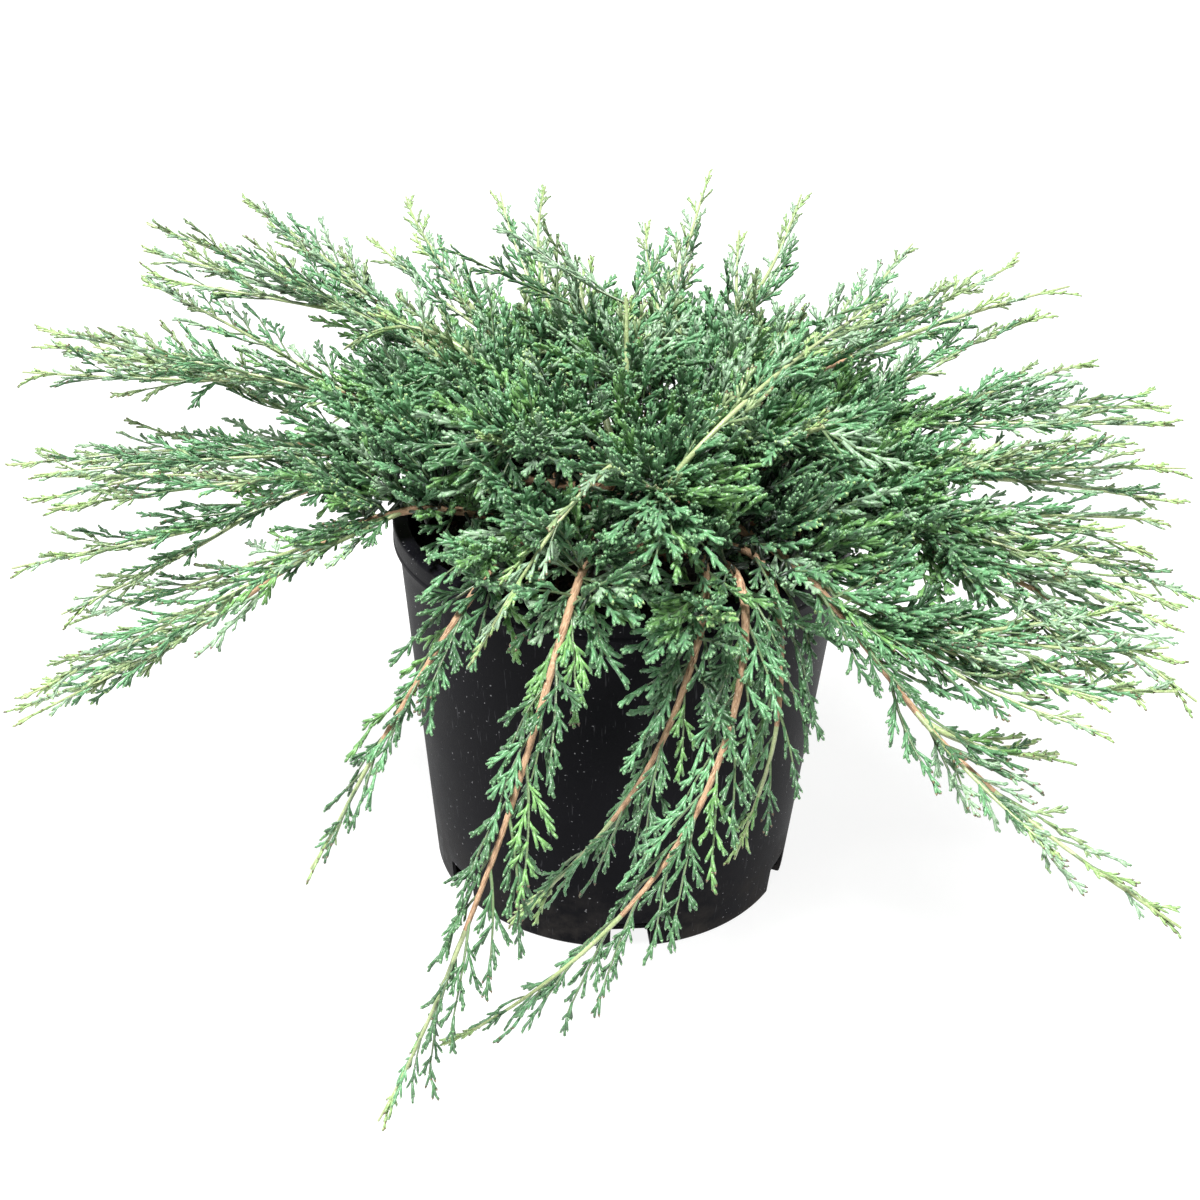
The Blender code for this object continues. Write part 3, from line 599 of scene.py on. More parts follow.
def leaf_material(name, colour, shade, waxy):
    """Scale leaves: a base colour that drifts between two tones, with a waxy bloom."""
    new, tree, shader, place = blank_material(name)
    drift = noise_node(tree, place, 38.0, 3.0)
    grain = noise_node(tree, place, 900.0, 2.0)
    tone = blend_colours(tree, band(tree, drift, 0.36, 0.64), shade, colour)
    pale = tuple(min(1.0, c * BLOOM_GAIN + BLOOM_LIFT) for c in colour)
    tone = blend_colours(tree, band(tree, grain, 0.50, 0.72, 0.0, 0.55), tone, pale)
    finish_shader(tree, shader, {
        "Base Color": tone,
        "Roughness": band(tree, grain, 0.3, 0.7, 0.32, 0.48),
        "Normal": bump(tree, grain, 0.0004, 0.5),
    }, {
        "Specular IOR Level": 0.75,
        "Sheen Weight": waxy,
        "Sheen Roughness": 0.5,
        "Sheen Tint": BLOOM_SHEEN,
    })
    return new


def bark_material():
    """Thin bark in strips that run along the limb, with dark cracks and pale flakes."""
    new, tree, shader, place = blank_material("limb_bark")
    uv = add_node(tree, "ShaderNodeUVMap", {"uv_map": "bark_map"}).outputs["UV"]
    lengthwise = mapped(tree, uv, (1.0, 0.16, 1.0))
    strips = noise_node(tree, lengthwise, 9.0, 5.0, 0.6)
    flakes = noise_node(tree, lengthwise, 22.0, 3.0, 0.6)
    patches = noise_node(tree, place, 30.0, 2.0)
    tone = blend_colours(tree, band(tree, strips, 0.36, 0.52), BARK_DEEP, BARK_MID)
    tone = blend_colours(tree, band(tree, flakes, 0.54, 0.66), tone, BARK_PALE)
    tone = blend_colours(tree, band(tree, patches, 0.45, 0.7, 0.0, 0.5), tone, BARK_MID)
    relief = combine(tree, "ADD", strips, combine(tree, "MULTIPLY", flakes, 0.5))
    finish_shader(tree, shader, {
        "Base Color": tone,
        "Roughness": band(tree, strips, 0.3, 0.7, 0.9, 0.7),
        "Normal": bump(tree, relief, 0.0012, 0.8),
    })
    return new


def pot_material():
    """Black moulded plastic: faint grain, fine scratches, white specks, dirt at the foot."""
    new, tree, shader, place = blank_material("pot_plastic")
    grain = noise_node(tree, place, 1400.0, 2.0)
    cloud = noise_node(tree, place, 14.0, 4.0)
    specks = noise_node(tree, place, 560.0, 1.0, 0.3)
    dust = noise_node(tree, place, 60.0, 5.0, 0.65)
    scratches = noise_node(tree, mapped(tree, place, (1.0, 1.0, 0.05), (0.2, 0.3, 0)), 700.0, 2.0, 0.5)
    height = add_node(tree, "ShaderNodeSeparateXYZ")
    tree.links.new(place, height.inputs["Vector"])
    foot = band(tree, height.outputs["Z"], POT_DIRT_HEIGHT, 0.0)
    dirt = combine(tree, "MULTIPLY", foot, band(tree, dust, 0.42, 0.68))
    tone = blend_colours(tree, band(tree, cloud, 0.35, 0.65), POT_BLACK, POT_WORN)
    for share, strength, colour in (
            (band(tree, scratches, 0.66, 0.74), 0.30, POT_SCRATCH),
            (band(tree, specks, 0.755, 0.785), 0.50, POT_SPECK),
            (dirt, 0.40, POT_DIRT)):
        tone = blend_colours(tree, combine(tree, "MULTIPLY", share, strength), tone, colour)
    gloss = band(tree, cloud, 0.3, 0.7, 0.40, 0.52)
    finish_shader(tree, shader, {
        "Base Color": tone,
        "Roughness": combine(tree, "ADD", gloss, combine(tree, "MULTIPLY", dirt, 0.3)),
        "Normal": bump(tree, grain, 0.0003, 0.35),
    }, {"Specular IOR Level": 0.05})
    return new


def soil_material():
    """Dark, damp peat with brown fibre."""
    new, tree, shader, place = blank_material("potting_mix")
    crumbs = noise_node(tree, place, 260.0, 5.0, 0.7)
    patches = noise_node(tree, place, 45.0, 3.0)
    tone = blend_colours(tree, band(tree, crumbs, 0.42, 0.62), PEAT_DARK, PEAT_BROWN)
    tone = blend_colours(tree, band(tree, patches, 0.55, 0.7, 0.0, 0.6), tone, PEAT_FIBRE)
    finish_shader(tree, shader, {"Base Color": tone, "Normal": bump(tree, crumbs, 0.003, 0.9)},
                  {"Roughness": 0.93})
    return new


def chip_material():
    """Chips of pine bark in the soil."""
    new, tree, shader, place = blank_material("bark_chips")
    grain = noise_node(tree, place, 420.0, 4.0, 0.6)
    tone = blend_colours(tree, band(tree, grain, 0.35, 0.65), CHIP_DARK, CHIP_RED)
    finish_shader(tree, shader, {"Base Color": tone, "Normal": bump(tree, grain, 0.001, 0.7)},
                  {"Roughness": 0.85})
    return new


LEAF_FINISHES = {name: leaf_material(name, *tones) for name, tones in LEAF_TONES.items()}


# Lines and routes, by the same rule as the solids


def unit(vector):
    """The vector at unit length, or each row of an array."""
    return vector / np.linalg.norm(vector, axis=-1, keepdims=True)


def between(pair, slim):
    """A value between its amount in the bush and at the slim tips."""
    return pair[0] + (pair[1] - pair[0]) * slim


def polar(radius, azimuth, height):
    """A point at a radius and an azimuth about the pot's axis."""
    return np.array([radius * math.cos(azimuth), radius * math.sin(azimuth), height])


def radii_of(points):
    """How far each point is from the pot's axis."""
    return np.hypot(points[:, 0], points[:, 1])


def distances(line):
    """How far along its line each point is."""
    return np.concatenate([[0], np.cumsum(np.linalg.norm(np.diff(line, axis=0), axis=1))])


def point_at(line, knots, at):
    """The point at a distance along a line, whose points are at the knots."""
    return np.array([np.interp(at, knots, line[:, k]) for k in range(3)])


def bent_line(start, knee, end, count):
    """A curve from start to end that bends towards the knee."""
    t = np.linspace(0, 1, count)[:, None]
    return start * (1 - t)**2 + 2 * knee * t * (1 - t) + end * t**2


def smooth_line(points, count):
    """A smooth line through the points, at even steps."""
    points = np.array(points, float)
    knots = distances(points)
    slopes = np.gradient(points, knots, axis=0)
    at = np.linspace(0, knots[-1], count)
    left = np.clip(np.searchsorted(knots, at, side="right") - 1, 0, len(knots) - 2)
    span = (knots[left + 1] - knots[left])[:, None]
    u = (at - knots[left])[:, None] / span
    return (points[left] * (2 * u**3 - 3 * u**2 + 1) + slopes[left] * span * (u**3 - 2 * u**2 + u)
            + points[left + 1] * (3 * u**2 - 2 * u**3) + slopes[left + 1] * span * (u**3 - u**2))


def around(line, azimuths):
    """Turn a line of radius and height into points in space."""
    return np.stack([line[:, 0] * np.cos(azimuths), line[:, 0] * np.sin(azimuths), line[:, 1]], 1)


def stem_radius(z):
    """The radius of the stem above its root flare."""
    share = (z - SOIL_CENTRE_HEIGHT) / (STEM_TOP - SOIL_CENTRE_HEIGHT)
    return STEM_FOOT_RADIUS + (STEM_TOP_RADIUS - STEM_FOOT_RADIUS) * share


def limb_route(limb):
    """From the stem's side, over the rim, to the furthest tip."""
    height = LOWEST_TIER + TIER_STEP * limb.tier
    start = stem_radius(height) + GAP
    over = np.array([OVER_RADIUS, limb.over])
    tip = np.array([limb.reach, limb.tip])
    along = tip - over
    outward = np.array([-along[1], along[0]]) / np.hypot(*along)
    middle = 0.5 * (over + tip) + limb.bulge * outward
    points = [(start, height), (start + STRAIGHT_END, height), over, middle, tip]
    line = smooth_line(points, ROUTE_POINTS)
    share = np.linspace(0, 1, ROUTE_POINTS)
    return around(line, np.radians(limb.azimuth + limb.turn * (1 - share**2)))


def crown_route(crown):
    """From the stem's shoulder or its top, up and out to the tuft's tip."""
    height = LOWEST_TIER + TIER_STEP * crown.tier
    tip = (crown.reach, crown.tip)
    if height > STEM_TOP:
        middle = (TOP_CROWN_LEAN * crown.reach, STEM_TOP + TOP_CROWN_RISE)
        points = [(0, STEM_TOP + GAP), (0, STEM_TOP + STRAIGHT_END), middle, tip]
    else:
        start = stem_radius(height) + GAP
        middle = (CROWN_MIDDLE[0] * crown.reach, height + CROWN_MIDDLE[1] * (crown.tip - height))
        points = [(start, height), (start + STRAIGHT_END, height), middle, tip]
    line = smooth_line(points, ROUTE_POINTS)
    return around(line, np.full(ROUTE_POINTS, math.radians(crown.azimuth)))


def route_radius(share):
    """The radius of a limb and its shoot at a share of the whole route."""
    return LIMB_ROOT_RADIUS + (SHOOT_TIP_RADIUS - LIMB_ROOT_RADIUS) * share**TAPER_POWER


def wall_radius(z):
    """The outer radius of the pot's tapered wall at a height."""
    return BASE_RADIUS + (WALL_TOP_RADIUS - BASE_RADIUS) * z / LIP_BOTTOM


def soil_height(radius):
    """The height of the soil, which falls a little from its centre to its edge."""
    return SOIL_CENTRE_HEIGHT - (SOIL_CENTRE_HEIGHT - SOIL_EDGE_HEIGHT) * (radius / SOIL_RADIUS) ** 2


def clear_of_pot(points, margin):
    """For each point, True where it isn't in or near the pot, the soil or the floor."""
    radius = radii_of(points)
    z = points[:, 2]
    below_lip = z < LIP_BOTTOM - margin
    beside = (radius > RIM_RADIUS + margin) | (below_lip & (radius > wall_radius(z) + margin))
    inside = (radius < LIP_INNER_RADIUS - margin) & (z > SOIL_CENTRE_HEIGHT + margin)
    above = z > POT_HEIGHT + margin
    return (beside | inside | above) & (z > FLOOR_CLEAR)


# Growth


def habit_of(limb):
    """How a limb's foliage grows."""
    if limb.tip < POT_HEIGHT and limb.reach < HANGING_REACH:
        return HANGING
    if limb.leaf_from > BARE_FROM:
        return DROOPING
    if limb.tip > SPIRE_TIP:
        return SPIRE
    return BUSHY if limb.reach < BUSHY_REACH else SPREADING


def dome_height(radius, azimuth):
    """The height of the foliage over the pot, lower in front than behind."""
    edge = DOME_EDGE_FRONT + (DOME_EDGE_BACK - DOME_EDGE_FRONT) * (1 + math.sin(azimuth)) / 2
    return DOME_TOP - (DOME_TOP - edge) * (radius / DOME_RADIUS) ** DOME_POWER


def side_of(way, roll):
    """A unit vector square to the way, at a roll from level."""
    up = np.array([0.0, 0.0, 1.0])
    if abs(way[2]) > NEARLY_UPRIGHT:
        up = np.array([1.0, 0.0, 0.0])
    level = unit(np.cross(way, up))
    return level * math.cos(roll) + np.cross(level, way) * math.sin(roll)


def leant(ahead, out, lean):
    """The way ahead, leant out by an angle."""
    return ahead * math.cos(lean) + out * math.sin(lean)


class Growth:
    """Grows the foliage from its lines and keeps it as arrays, by leaf and tip finish."""

    def __init__(self, seed):
        """Start with nothing grown."""
        self.rng = np.random.default_rng(seed)
        self.leafy = defaultdict(list)
        self.tips = defaultdict(list)
        self.twigs = []
        self.forks = []
        self.in_view = np.zeros((0, 3))

    def pick(self, weights):
        """One of the names, by its weight."""
        shares = np.array(list(weights.values()), float)
        return str(self.rng.choice(list(weights), p=shares / shares.sum()))

    def look_at(self, outward, slim, hangs=False):
        """The finishes of a shoot, by how far out on its limb it stands."""
        row = next(row for row in (HANGING_LOOKS if hangs else LOOKS) if outward > row.beyond)
        return Look(self.pick(row.leaves), self.pick(row.tips), slim)

    def keep_in_view(self, line):
        """Note a line that foliage over the rim is to leave in view."""
        radii = radii_of(line)
        seen = (radii > VIEW_RADII[0]) & (radii < VIEW_RADII[1])
        self.in_view = np.vstack([self.in_view, line[seen]])

    def covers(self, target):
        """Whether foliage at the target would cover a line that is kept in view."""
        gap = target - self.in_view
        return bool(((radii_of(gap) < VIEW_CLEAR) & (gap[:, 2] > -VIEW_CLEAR)).any())

    def add_fingers(self, roots, aims, lengths, thick, leaf, tip):
        """Keep the fingers that stay clear of the pot and within the plant's reach."""
        ends = roots + aims * lengths[:, None]
        keep = clear_of_pot(ends, KEEP_CLEAR) & clear_of_pot(roots, 0.0)
        keep &= (ends > REACH_LOW).all(axis=1) & (ends < REACH_HIGH).all(axis=1)
        rows = np.hstack([roots, aims, np.full((len(roots), 1), thick), lengths[:, None]])[keep]
        self.leafy[leaf].append(rows)
        if tip:
            self.tips[tip].append(rows)

    def sprig(self, root, way, normal, length, look):
        """A short flat spray: an axis of leafy joints with fingers to alternate sides."""
        rng = self.rng
        thick = between(FINGER_THICK, look.slim)
        side = unit(np.cross(way, normal))
        bend = rng.normal(0, SPRIG_BEND, 2)
        count = max(FINGERS_LEAST, int(length / between(FINGER_PITCH, look.slim)))
        share = (np.arange(count) + FIRST_FINGER) / count
        drift = side * bend[0] + normal * bend[1]
        places = root + length * (way * share[:, None] + drift * (share**2)[:, None])
        ways = unit(way + 2 * drift * share[:, None])
        turn = np.where(np.arange(count) % 2, 0.0, math.pi) + rng.normal(0, FINGER_ROLL, count)
        out = side * np.cos(turn)[:, None] + normal * np.sin(turn)[:, None]
        lean = between(FINGER_LEAN, look.slim) * (LEAN_AT_ROOT - LEAN_LOST * share)
        lean = lean * rng.uniform(*LEAN_VARIES, count)
        aims = unit(ways * np.cos(lean)[:, None] + out * np.sin(lean)[:, None])
        swell = np.sin(math.pi * np.clip(SWELL_FROM + SWELL_SPAN * share, 0, 1)) ** SWELL_POWER
        longest = min(between(FINGER_LONGEST, look.slim), FINGER_OF_SPRIG * length + FINGER_MORE)
        lengths = np.maximum(longest * swell * rng.uniform(*FINGER_VARIES, count), FINGER_LEAST)
        self.add_fingers(places, aims, lengths, thick * FINGER_THIN, look.leaf, look.tip)
        long = lengths > SECOND_FROM
        if long.any():
            self.second_fingers(places[long], aims[long], lengths[long], normal, thick, look)
        edges = np.linspace(0, 1, max(1, int(round(length / AXIS_STEP))) + 1)
        joints = root + length * (way * edges[:, None] + drift * (edges**2)[:, None])
        steps = np.diff(joints, axis=0)
        spans = np.linalg.norm(steps, axis=1)
        self.add_fingers(joints[:-1], steps / spans[:, None], spans * AXIS_OVERLAP, thick,
                         look.leaf, look.tip)

    def second_fingers(self, places, aims, lengths, normal, thick, look):
        """A shorter finger at the side of each long one."""
        base = places + aims * (lengths * SECOND_PLACE)[:, None]
        flip = np.where(np.arange(len(aims)) % 2, 1.0, -1.0)[:, None]
        across = unit(np.cross(normal, aims)) * flip
        scatter = SECOND_SCATTER * self.rng.normal(0, 1, base.shape)
        aim = unit(aims + SECOND_LEAN * across + scatter)
        self.add_fingers(base, aim, lengths * SECOND_LENGTH, thick * SECOND_THICK, look.leaf, look.tip)

    def shoot(self, root, way, length, pull, look, bare=0.0, brown=False):
        """A slender shoot with sprigs to alternate sides and one at its end."""
        rng = self.rng
        steps = SHOOT_STEPS + int(length / SHOOT_STEP)
        share = np.linspace(0, 1, steps)[:, None]
        sway = pull + rng.normal(0, SHOOT_SWAY, 3)
        line = root + length * (way * share + sway * (share**2 - share * SWAY_BACK))
        if not clear_of_pot(line[2:], KEEP_CLEAR).all():
            return
        growth = min(TWIG_MOST, TWIG_BASE + length / TWIG_FULL_LENGTH)
        self.twigs.append((line, np.linspace(*TWIG_RADII, steps) * growth))
        knots = distances(line)
        full = knots[-1]
        at = max(SPRIG_PITCH * rng.uniform(*SPRIG_FIRST), bare)
        flip = rng.choice((-1, 1))
        while at < full - END_MARGIN:
            here = point_at(line, knots, at)
            ahead = unit(point_at(line, knots, min(at + LOOK_AHEAD, full)) - here)
            out = side_of(ahead, rng.uniform(-SPRIG_ROLL, SPRIG_ROLL)) * flip
            lean = between(SPRIG_LEAN, look.slim) * rng.uniform(*SPRIG_LEAN_VARIES)
            aim = unit(leant(ahead, out, lean))
            size = between(SPRIG_SHARE, look.slim) * (full - at) + SPRIG_MORE
            size = min(SPRIG_MOST, size) * rng.uniform(*SPRIG_VARIES)
            if size < SPRIG_LEAST:
                self.add_fingers(here[None], aim[None], np.array([max(size, LONE_FINGER)]),
                                 between(FINGER_THICK, look.slim), look.leaf, look.tip)
            else:
                normal = unit(np.cross(aim, out) + SPRIG_SCATTER * rng.normal(0, 1, 3))
                self.sprig(here, aim, normal, size, look)
            flip = -flip
            at += SPRIG_PITCH * rng.uniform(*SPRIG_SPACING)
        ahead = unit(line[-1] - line[-2])
        normal = side_of(ahead, rng.uniform(*END_ROLL))
        last = look._replace(tip="tip_brown") if brown else look
        self.sprig(line[-1] - END_MARGIN * ahead, ahead, normal, END_SPRIG, last)

    def old_growth(self, line, pitch, size):
        """Old foliage close round a line inside the plant, near-black as painted shade."""
        rng = self.rng
        knots = distances(line)
        at = np.arange(OLD_FIRST * pitch, knots[-1], pitch)
        places = point_at(line, knots, at).T
        aims = unit(rng.normal(0, 1, places.shape) + OLD_RISE)
        lengths = size * rng.uniform(*OLD_VARIES, len(at))
        ends = places + aims * lengths[:, None]
        top = np.array([dome_height(math.hypot(x, y), math.atan2(y, x)) for x, y, _ in ends])
        deep = ends[:, 2] < top - OLD_DEPTH
        # Near-black leaves deep inside, which paint the shade there
        self.add_fingers(places[deep], aims[deep], lengths[deep], OLD_THICK * size, "leaf_shade", None)

    def fork(self, root, ahead, last, flip, length):
        """A long side shoot that swings round beside its limb."""
        out = side_of(ahead, self.rng.uniform(*FORK_ROLL))
        if flip < 0:
            level = side_of(ahead, 0.0)
            out = out - 2 * level * np.dot(out, level)
        aim = leant(ahead, out, self.rng.uniform(*FORK_LEAN))
        swing = unit(last + FORK_APART * out)
        tip = root + length * unit(FORK_OUTWARD * aim + (1 - FORK_OUTWARD) * swing)
        line = bent_line(root, root + FORK_KNEE * length * aim, tip, FORK_POINTS)
        if not clear_of_pot(line[4:], FORK_CLEAR).all():
            return
        self.forks.append((line, np.linspace(*FORK_RADII, FORK_POINTS)))
        self.along(line, FORKED, FORK_FIRST, FORK_BASE)

    def side_limb(self, line, side):
        """A long limb that leaves another and spreads to a tip of its own."""
        start = int(side.share * (len(line) - 1))
        root = line[start]
        ahead = unit(line[start + 2] - root)
        tip = polar(side.reach, math.radians(side.azimuth), side.tip)
        length = np.linalg.norm(tip - root)
        knee = root + length * (SIDE_KNEE[0] * ahead + SIDE_KNEE[1] * (tip - root) / length)
        route = bent_line(root, knee + (0, 0, side.lift), tip, SIDE_POINTS)
        self.forks.append((route, np.linspace(*SIDE_RADII, SIDE_POINTS)))
        self.along(route, side.habit, SIDE_FIRST, LIMB_BASE)

    def along(self, line, habit, first, base):
        """Shoots to both sides of a leafy line, slimmer towards its tip."""
        rng = self.rng
        knots = distances(line)
        full = knots[-1]
        last = unit(line[-1] - line[-4])
        for number, (start, share) in enumerate(FORKS.get(habit, ())):
            at = first + start * (full - first)
            here = point_at(line, knots, at)
            ahead = unit(point_at(line, knots, at + FORK_LOOK_AHEAD) - here)
            self.fork(here, ahead, last, 1 if number % 2 else -1, share * (full - at))
        at = first
        flip = 1
        while at < full - LIMB_END_MARGIN:
            here = point_at(line, knots, at)
            ahead = unit(point_at(line, knots, at + SHOOT_LOOK_AHEAD) - here)
            outward = base + (1 - base) * (at - first) / (full - first)
            slim = min(1.0, SLIM_FROM + SLIM_SPAN * outward)
            look = self.look_at(outward + habit.light, slim, habit.hangs)
            size = min(habit.most, habit.share * (full - at) + SHOOT_MORE) * rng.uniform(*SHOOT_VARIES)
            roll = rng.uniform(*(HANGING_ROLL if habit.hangs else UPWARD_ROLL))
            out = side_of(ahead, roll if flip > 0 else math.pi - roll)
            aim = unit(leant(ahead, out, rng.uniform(*SHOOT_LEAN) - SHOOT_LEAN_LOST * slim))
            pull = np.array([0, 0, HANGING_PULL if habit.hangs else UPWARD_PULL])
            pull = pull + PULL_AHEAD * (ahead - aim)
            if size > SHOOT_LEAST:
                self.shoot(here, aim, size, pull, look, brown=rng.random() < BROWN_SHARE * slim)
            elif size > SPRIG_LEAST:
                normal = unit(np.cross(aim, out) + SIDE_SCATTER * rng.normal(0, 1, 3))
                self.sprig(here, aim, normal, size, look)
            flip = -flip
            at += habit.pitch * rng.uniform(*SHOOT_SPACING) * (1.0 - SHOOT_CLOSER * outward)
        normal = side_of(last, rng.uniform(*LEADER_ROLL))
        self.sprig(line[-1] - LEADER_BACK * last, last, normal, LEADER, LEADER_LOOK)

    def along_limb(self, line, habit):
        """The foliage of a limb, from over the rim to its tip."""
        first = float(np.interp(SHOOT_START, radii_of(line), distances(line)))
        self.along(line, habit, first, LIMB_BASE)

    def fill_dome(self, lines):
        """Shoots from the nearest limb up to even places over the whole pot."""
        rng = self.rng
        support = np.vstack(lines)
        support = support[radii_of(support) < DOME_RADIUS]
        for k in range(DOME_SHOOTS):
            radius = DOME_RADIUS * ((k + 0.5) / DOME_SHOOTS) ** DOME_SPREAD
            azimuth = k * GOLDEN_TURN + rng.uniform(-DOME_TURN_VARIES, DOME_TURN_VARIES)
            degrees = math.degrees(azimuth) % 360
            if radius > OPEN_RADIUS and OPEN_AZIMUTHS[0] < degrees < OPEN_AZIMUTHS[1]:
                continue
            height = dome_height(radius, azimuth) + rng.normal(0, DOME_HEIGHT_VARIES)
            behind = math.sin(azimuth)
            spire = behind > SPIRE_BEHIND and radius > SPIRE_FROM and rng.random() < SPIRE_SHARE
            height += rng.uniform(*SPIRE_RISE) if spire else 0.0
            target = polar(radius, azimuth, height)
            away = np.linalg.norm(support - target, axis=1)
            away[support[:, 2] > height - ROOT_BELOW] += ROOT_FAR
            away += ROOT_RADIAL * np.abs(radii_of(support) - ROOT_INWARD * radius)
            root = support[int(np.argmin(away))]
            if self.covers(target):
                continue
            length = np.linalg.norm(target - root)
            outward = np.array([math.cos(azimuth), math.sin(azimuth), 0.0]) * radius / DOME_RADIUS
            pale = spire or rng.random() < PALE_BEHIND * (max(0.0, behind) * radius / DOME_RADIUS)
            look = self.look_at(PALE_LOOK if pale else DEEP_LOOK, SPIRE_SLIM if spire else 0.0)
            leafy = SPIRE_LEAFY * DOME_SHOOT_LEAFY if spire else DOME_SHOOT_LEAFY
            self.shoot(root, (target - root) / length, length, DOME_PULL * outward, look,
                       max(0.0, length - leafy))
            self.old_growth(np.array([root, target]), *OLD_ON_SHOOTS)

    def fill_skirt(self, lines, skirt):
        """Low tufts between two azimuths, which hide the soil and lean over the rim."""
        rng = self.rng
        support = np.vstack(lines)
        reach = radii_of(support)
        support = support[(reach > SKIRT_ROOT_LEAST) & (reach < skirt.radii[1] - SKIRT_ROOT_INSIDE)]
        for _ in range(skirt.count):
            azimuth = math.radians(rng.uniform(*skirt.azimuths))
            radius = math.sqrt(rng.uniform(skirt.radii[0]**2, skirt.radii[1]**2))
            low = skirt.low if radius > RIM_RADIUS else SKIRT_LOW_INSIDE
            target = polar(radius, azimuth, rng.uniform(low, dome_height(radius, azimuth)))
            if self.covers(target):
                continue
            away = np.linalg.norm(support - target, axis=1)
            away[away < SKIRT_NEAREST] += ROOT_FAR
            root = support[int(np.argmin(away))]
            length = np.linalg.norm(target - root)
            outward = np.array([math.cos(azimuth), math.sin(azimuth), SKIRT_RISE])
            way = unit((target - root) / length + SKIRT_OUTWARD * outward)
            look = self.look_at(DEEP_LOOK, 0.0)
            self.shoot(root, way, max(length, SKIRT_LEAST), SKIRT_PULL * outward, look,
                       max(0.0, length - DOME_SHOOT_LEAFY))


# Geometry trees


def new_tree(name, inputs):
    """A geometry tree with named inputs and its group nodes."""
    tree = bpy.data.node_groups.new(name, "GeometryNodeTree")
    tree.interface.new_socket("Geometry", in_out="INPUT", socket_type="NodeSocketGeometry")
    for label, kind in inputs:
        tree.interface.new_socket(label, in_out="INPUT", socket_type=kind)
    tree.interface.new_socket("Geometry", in_out="OUTPUT", socket_type="NodeSocketGeometry")
    return tree, tree.nodes.new("NodeGroupInput"), tree.nodes.new("NodeGroupOutput")


def named_values(tree, name, kind):
    """The values of an attribute that a mesh carries."""
    return add_node(tree, "GeometryNodeInputNamedAttribute", {"data_type": kind}, {"Name": name})


def finger_tree():
    """Sets a leafy finger on every point, turned to its aim and scaled to its size."""
    tree, given, result = new_tree("fingers_on_points", [
        ("Finger", "NodeSocketObject"), ("Fullness", "NodeSocketFloat"),
        ("Seed", "NodeSocketInt"), ("Finish", "NodeSocketMaterial")])
    shape = add_node(tree, "GeometryNodeObjectInfo")
    aim = named_values(tree, "aim", "FLOAT_VECTOR")
    size = named_values(tree, "size", "FLOAT_VECTOR")
    turn = add_node(tree, "FunctionNodeAlignRotationToVector", {"axis": "Z"})
    spin = add_node(tree, "FunctionNodeRandomValue", {"data_type": "FLOAT"}, {3: 2 * math.pi})
    roll = add_node(tree, "FunctionNodeAxisAngleToRotation", None, {"Axis": (0, 0, 1)})
    both = add_node(tree, "FunctionNodeRotateRotation", {"rotation_space": "LOCAL"})
    full = add_node(tree, "ShaderNodeCombineXYZ", None, {"Z": 1.0})
    grown = add_node(tree, "ShaderNodeVectorMath", {"operation": "MULTIPLY"})
    place = add_node(tree, "GeometryNodeInstanceOnPoints")
    real = add_node(tree, "GeometryNodeRealizeInstances")
    dress = add_node(tree, "GeometryNodeSetMaterial")
    join(tree,
         (given, "Finger", shape, "Object"),
         (given, "Seed", spin, "Seed"),
         (given, "Fullness", full, "X"),
         (given, "Fullness", full, "Y"),
         (aim, "Attribute", turn, "Vector"),
         (spin, 1, roll, "Angle"),
         (turn, "Rotation", both, "Rotation"),
         (roll, "Rotation", both, "Rotate By"),
         (size, "Attribute", grown, 0),
         (full, "Vector", grown, 1),
         (given, "Geometry", place, "Points"),
         (shape, "Geometry", place, "Instance"),
         (both, "Rotation", place, "Rotation"),
         (grown, "Vector", place, "Scale"),
         (place, "Instances", real, "Geometry"),
         (real, "Geometry", dress, "Geometry"),
         (given, "Finish", dress, "Material"),
         (dress, "Geometry", result, "Geometry"))
    return tree


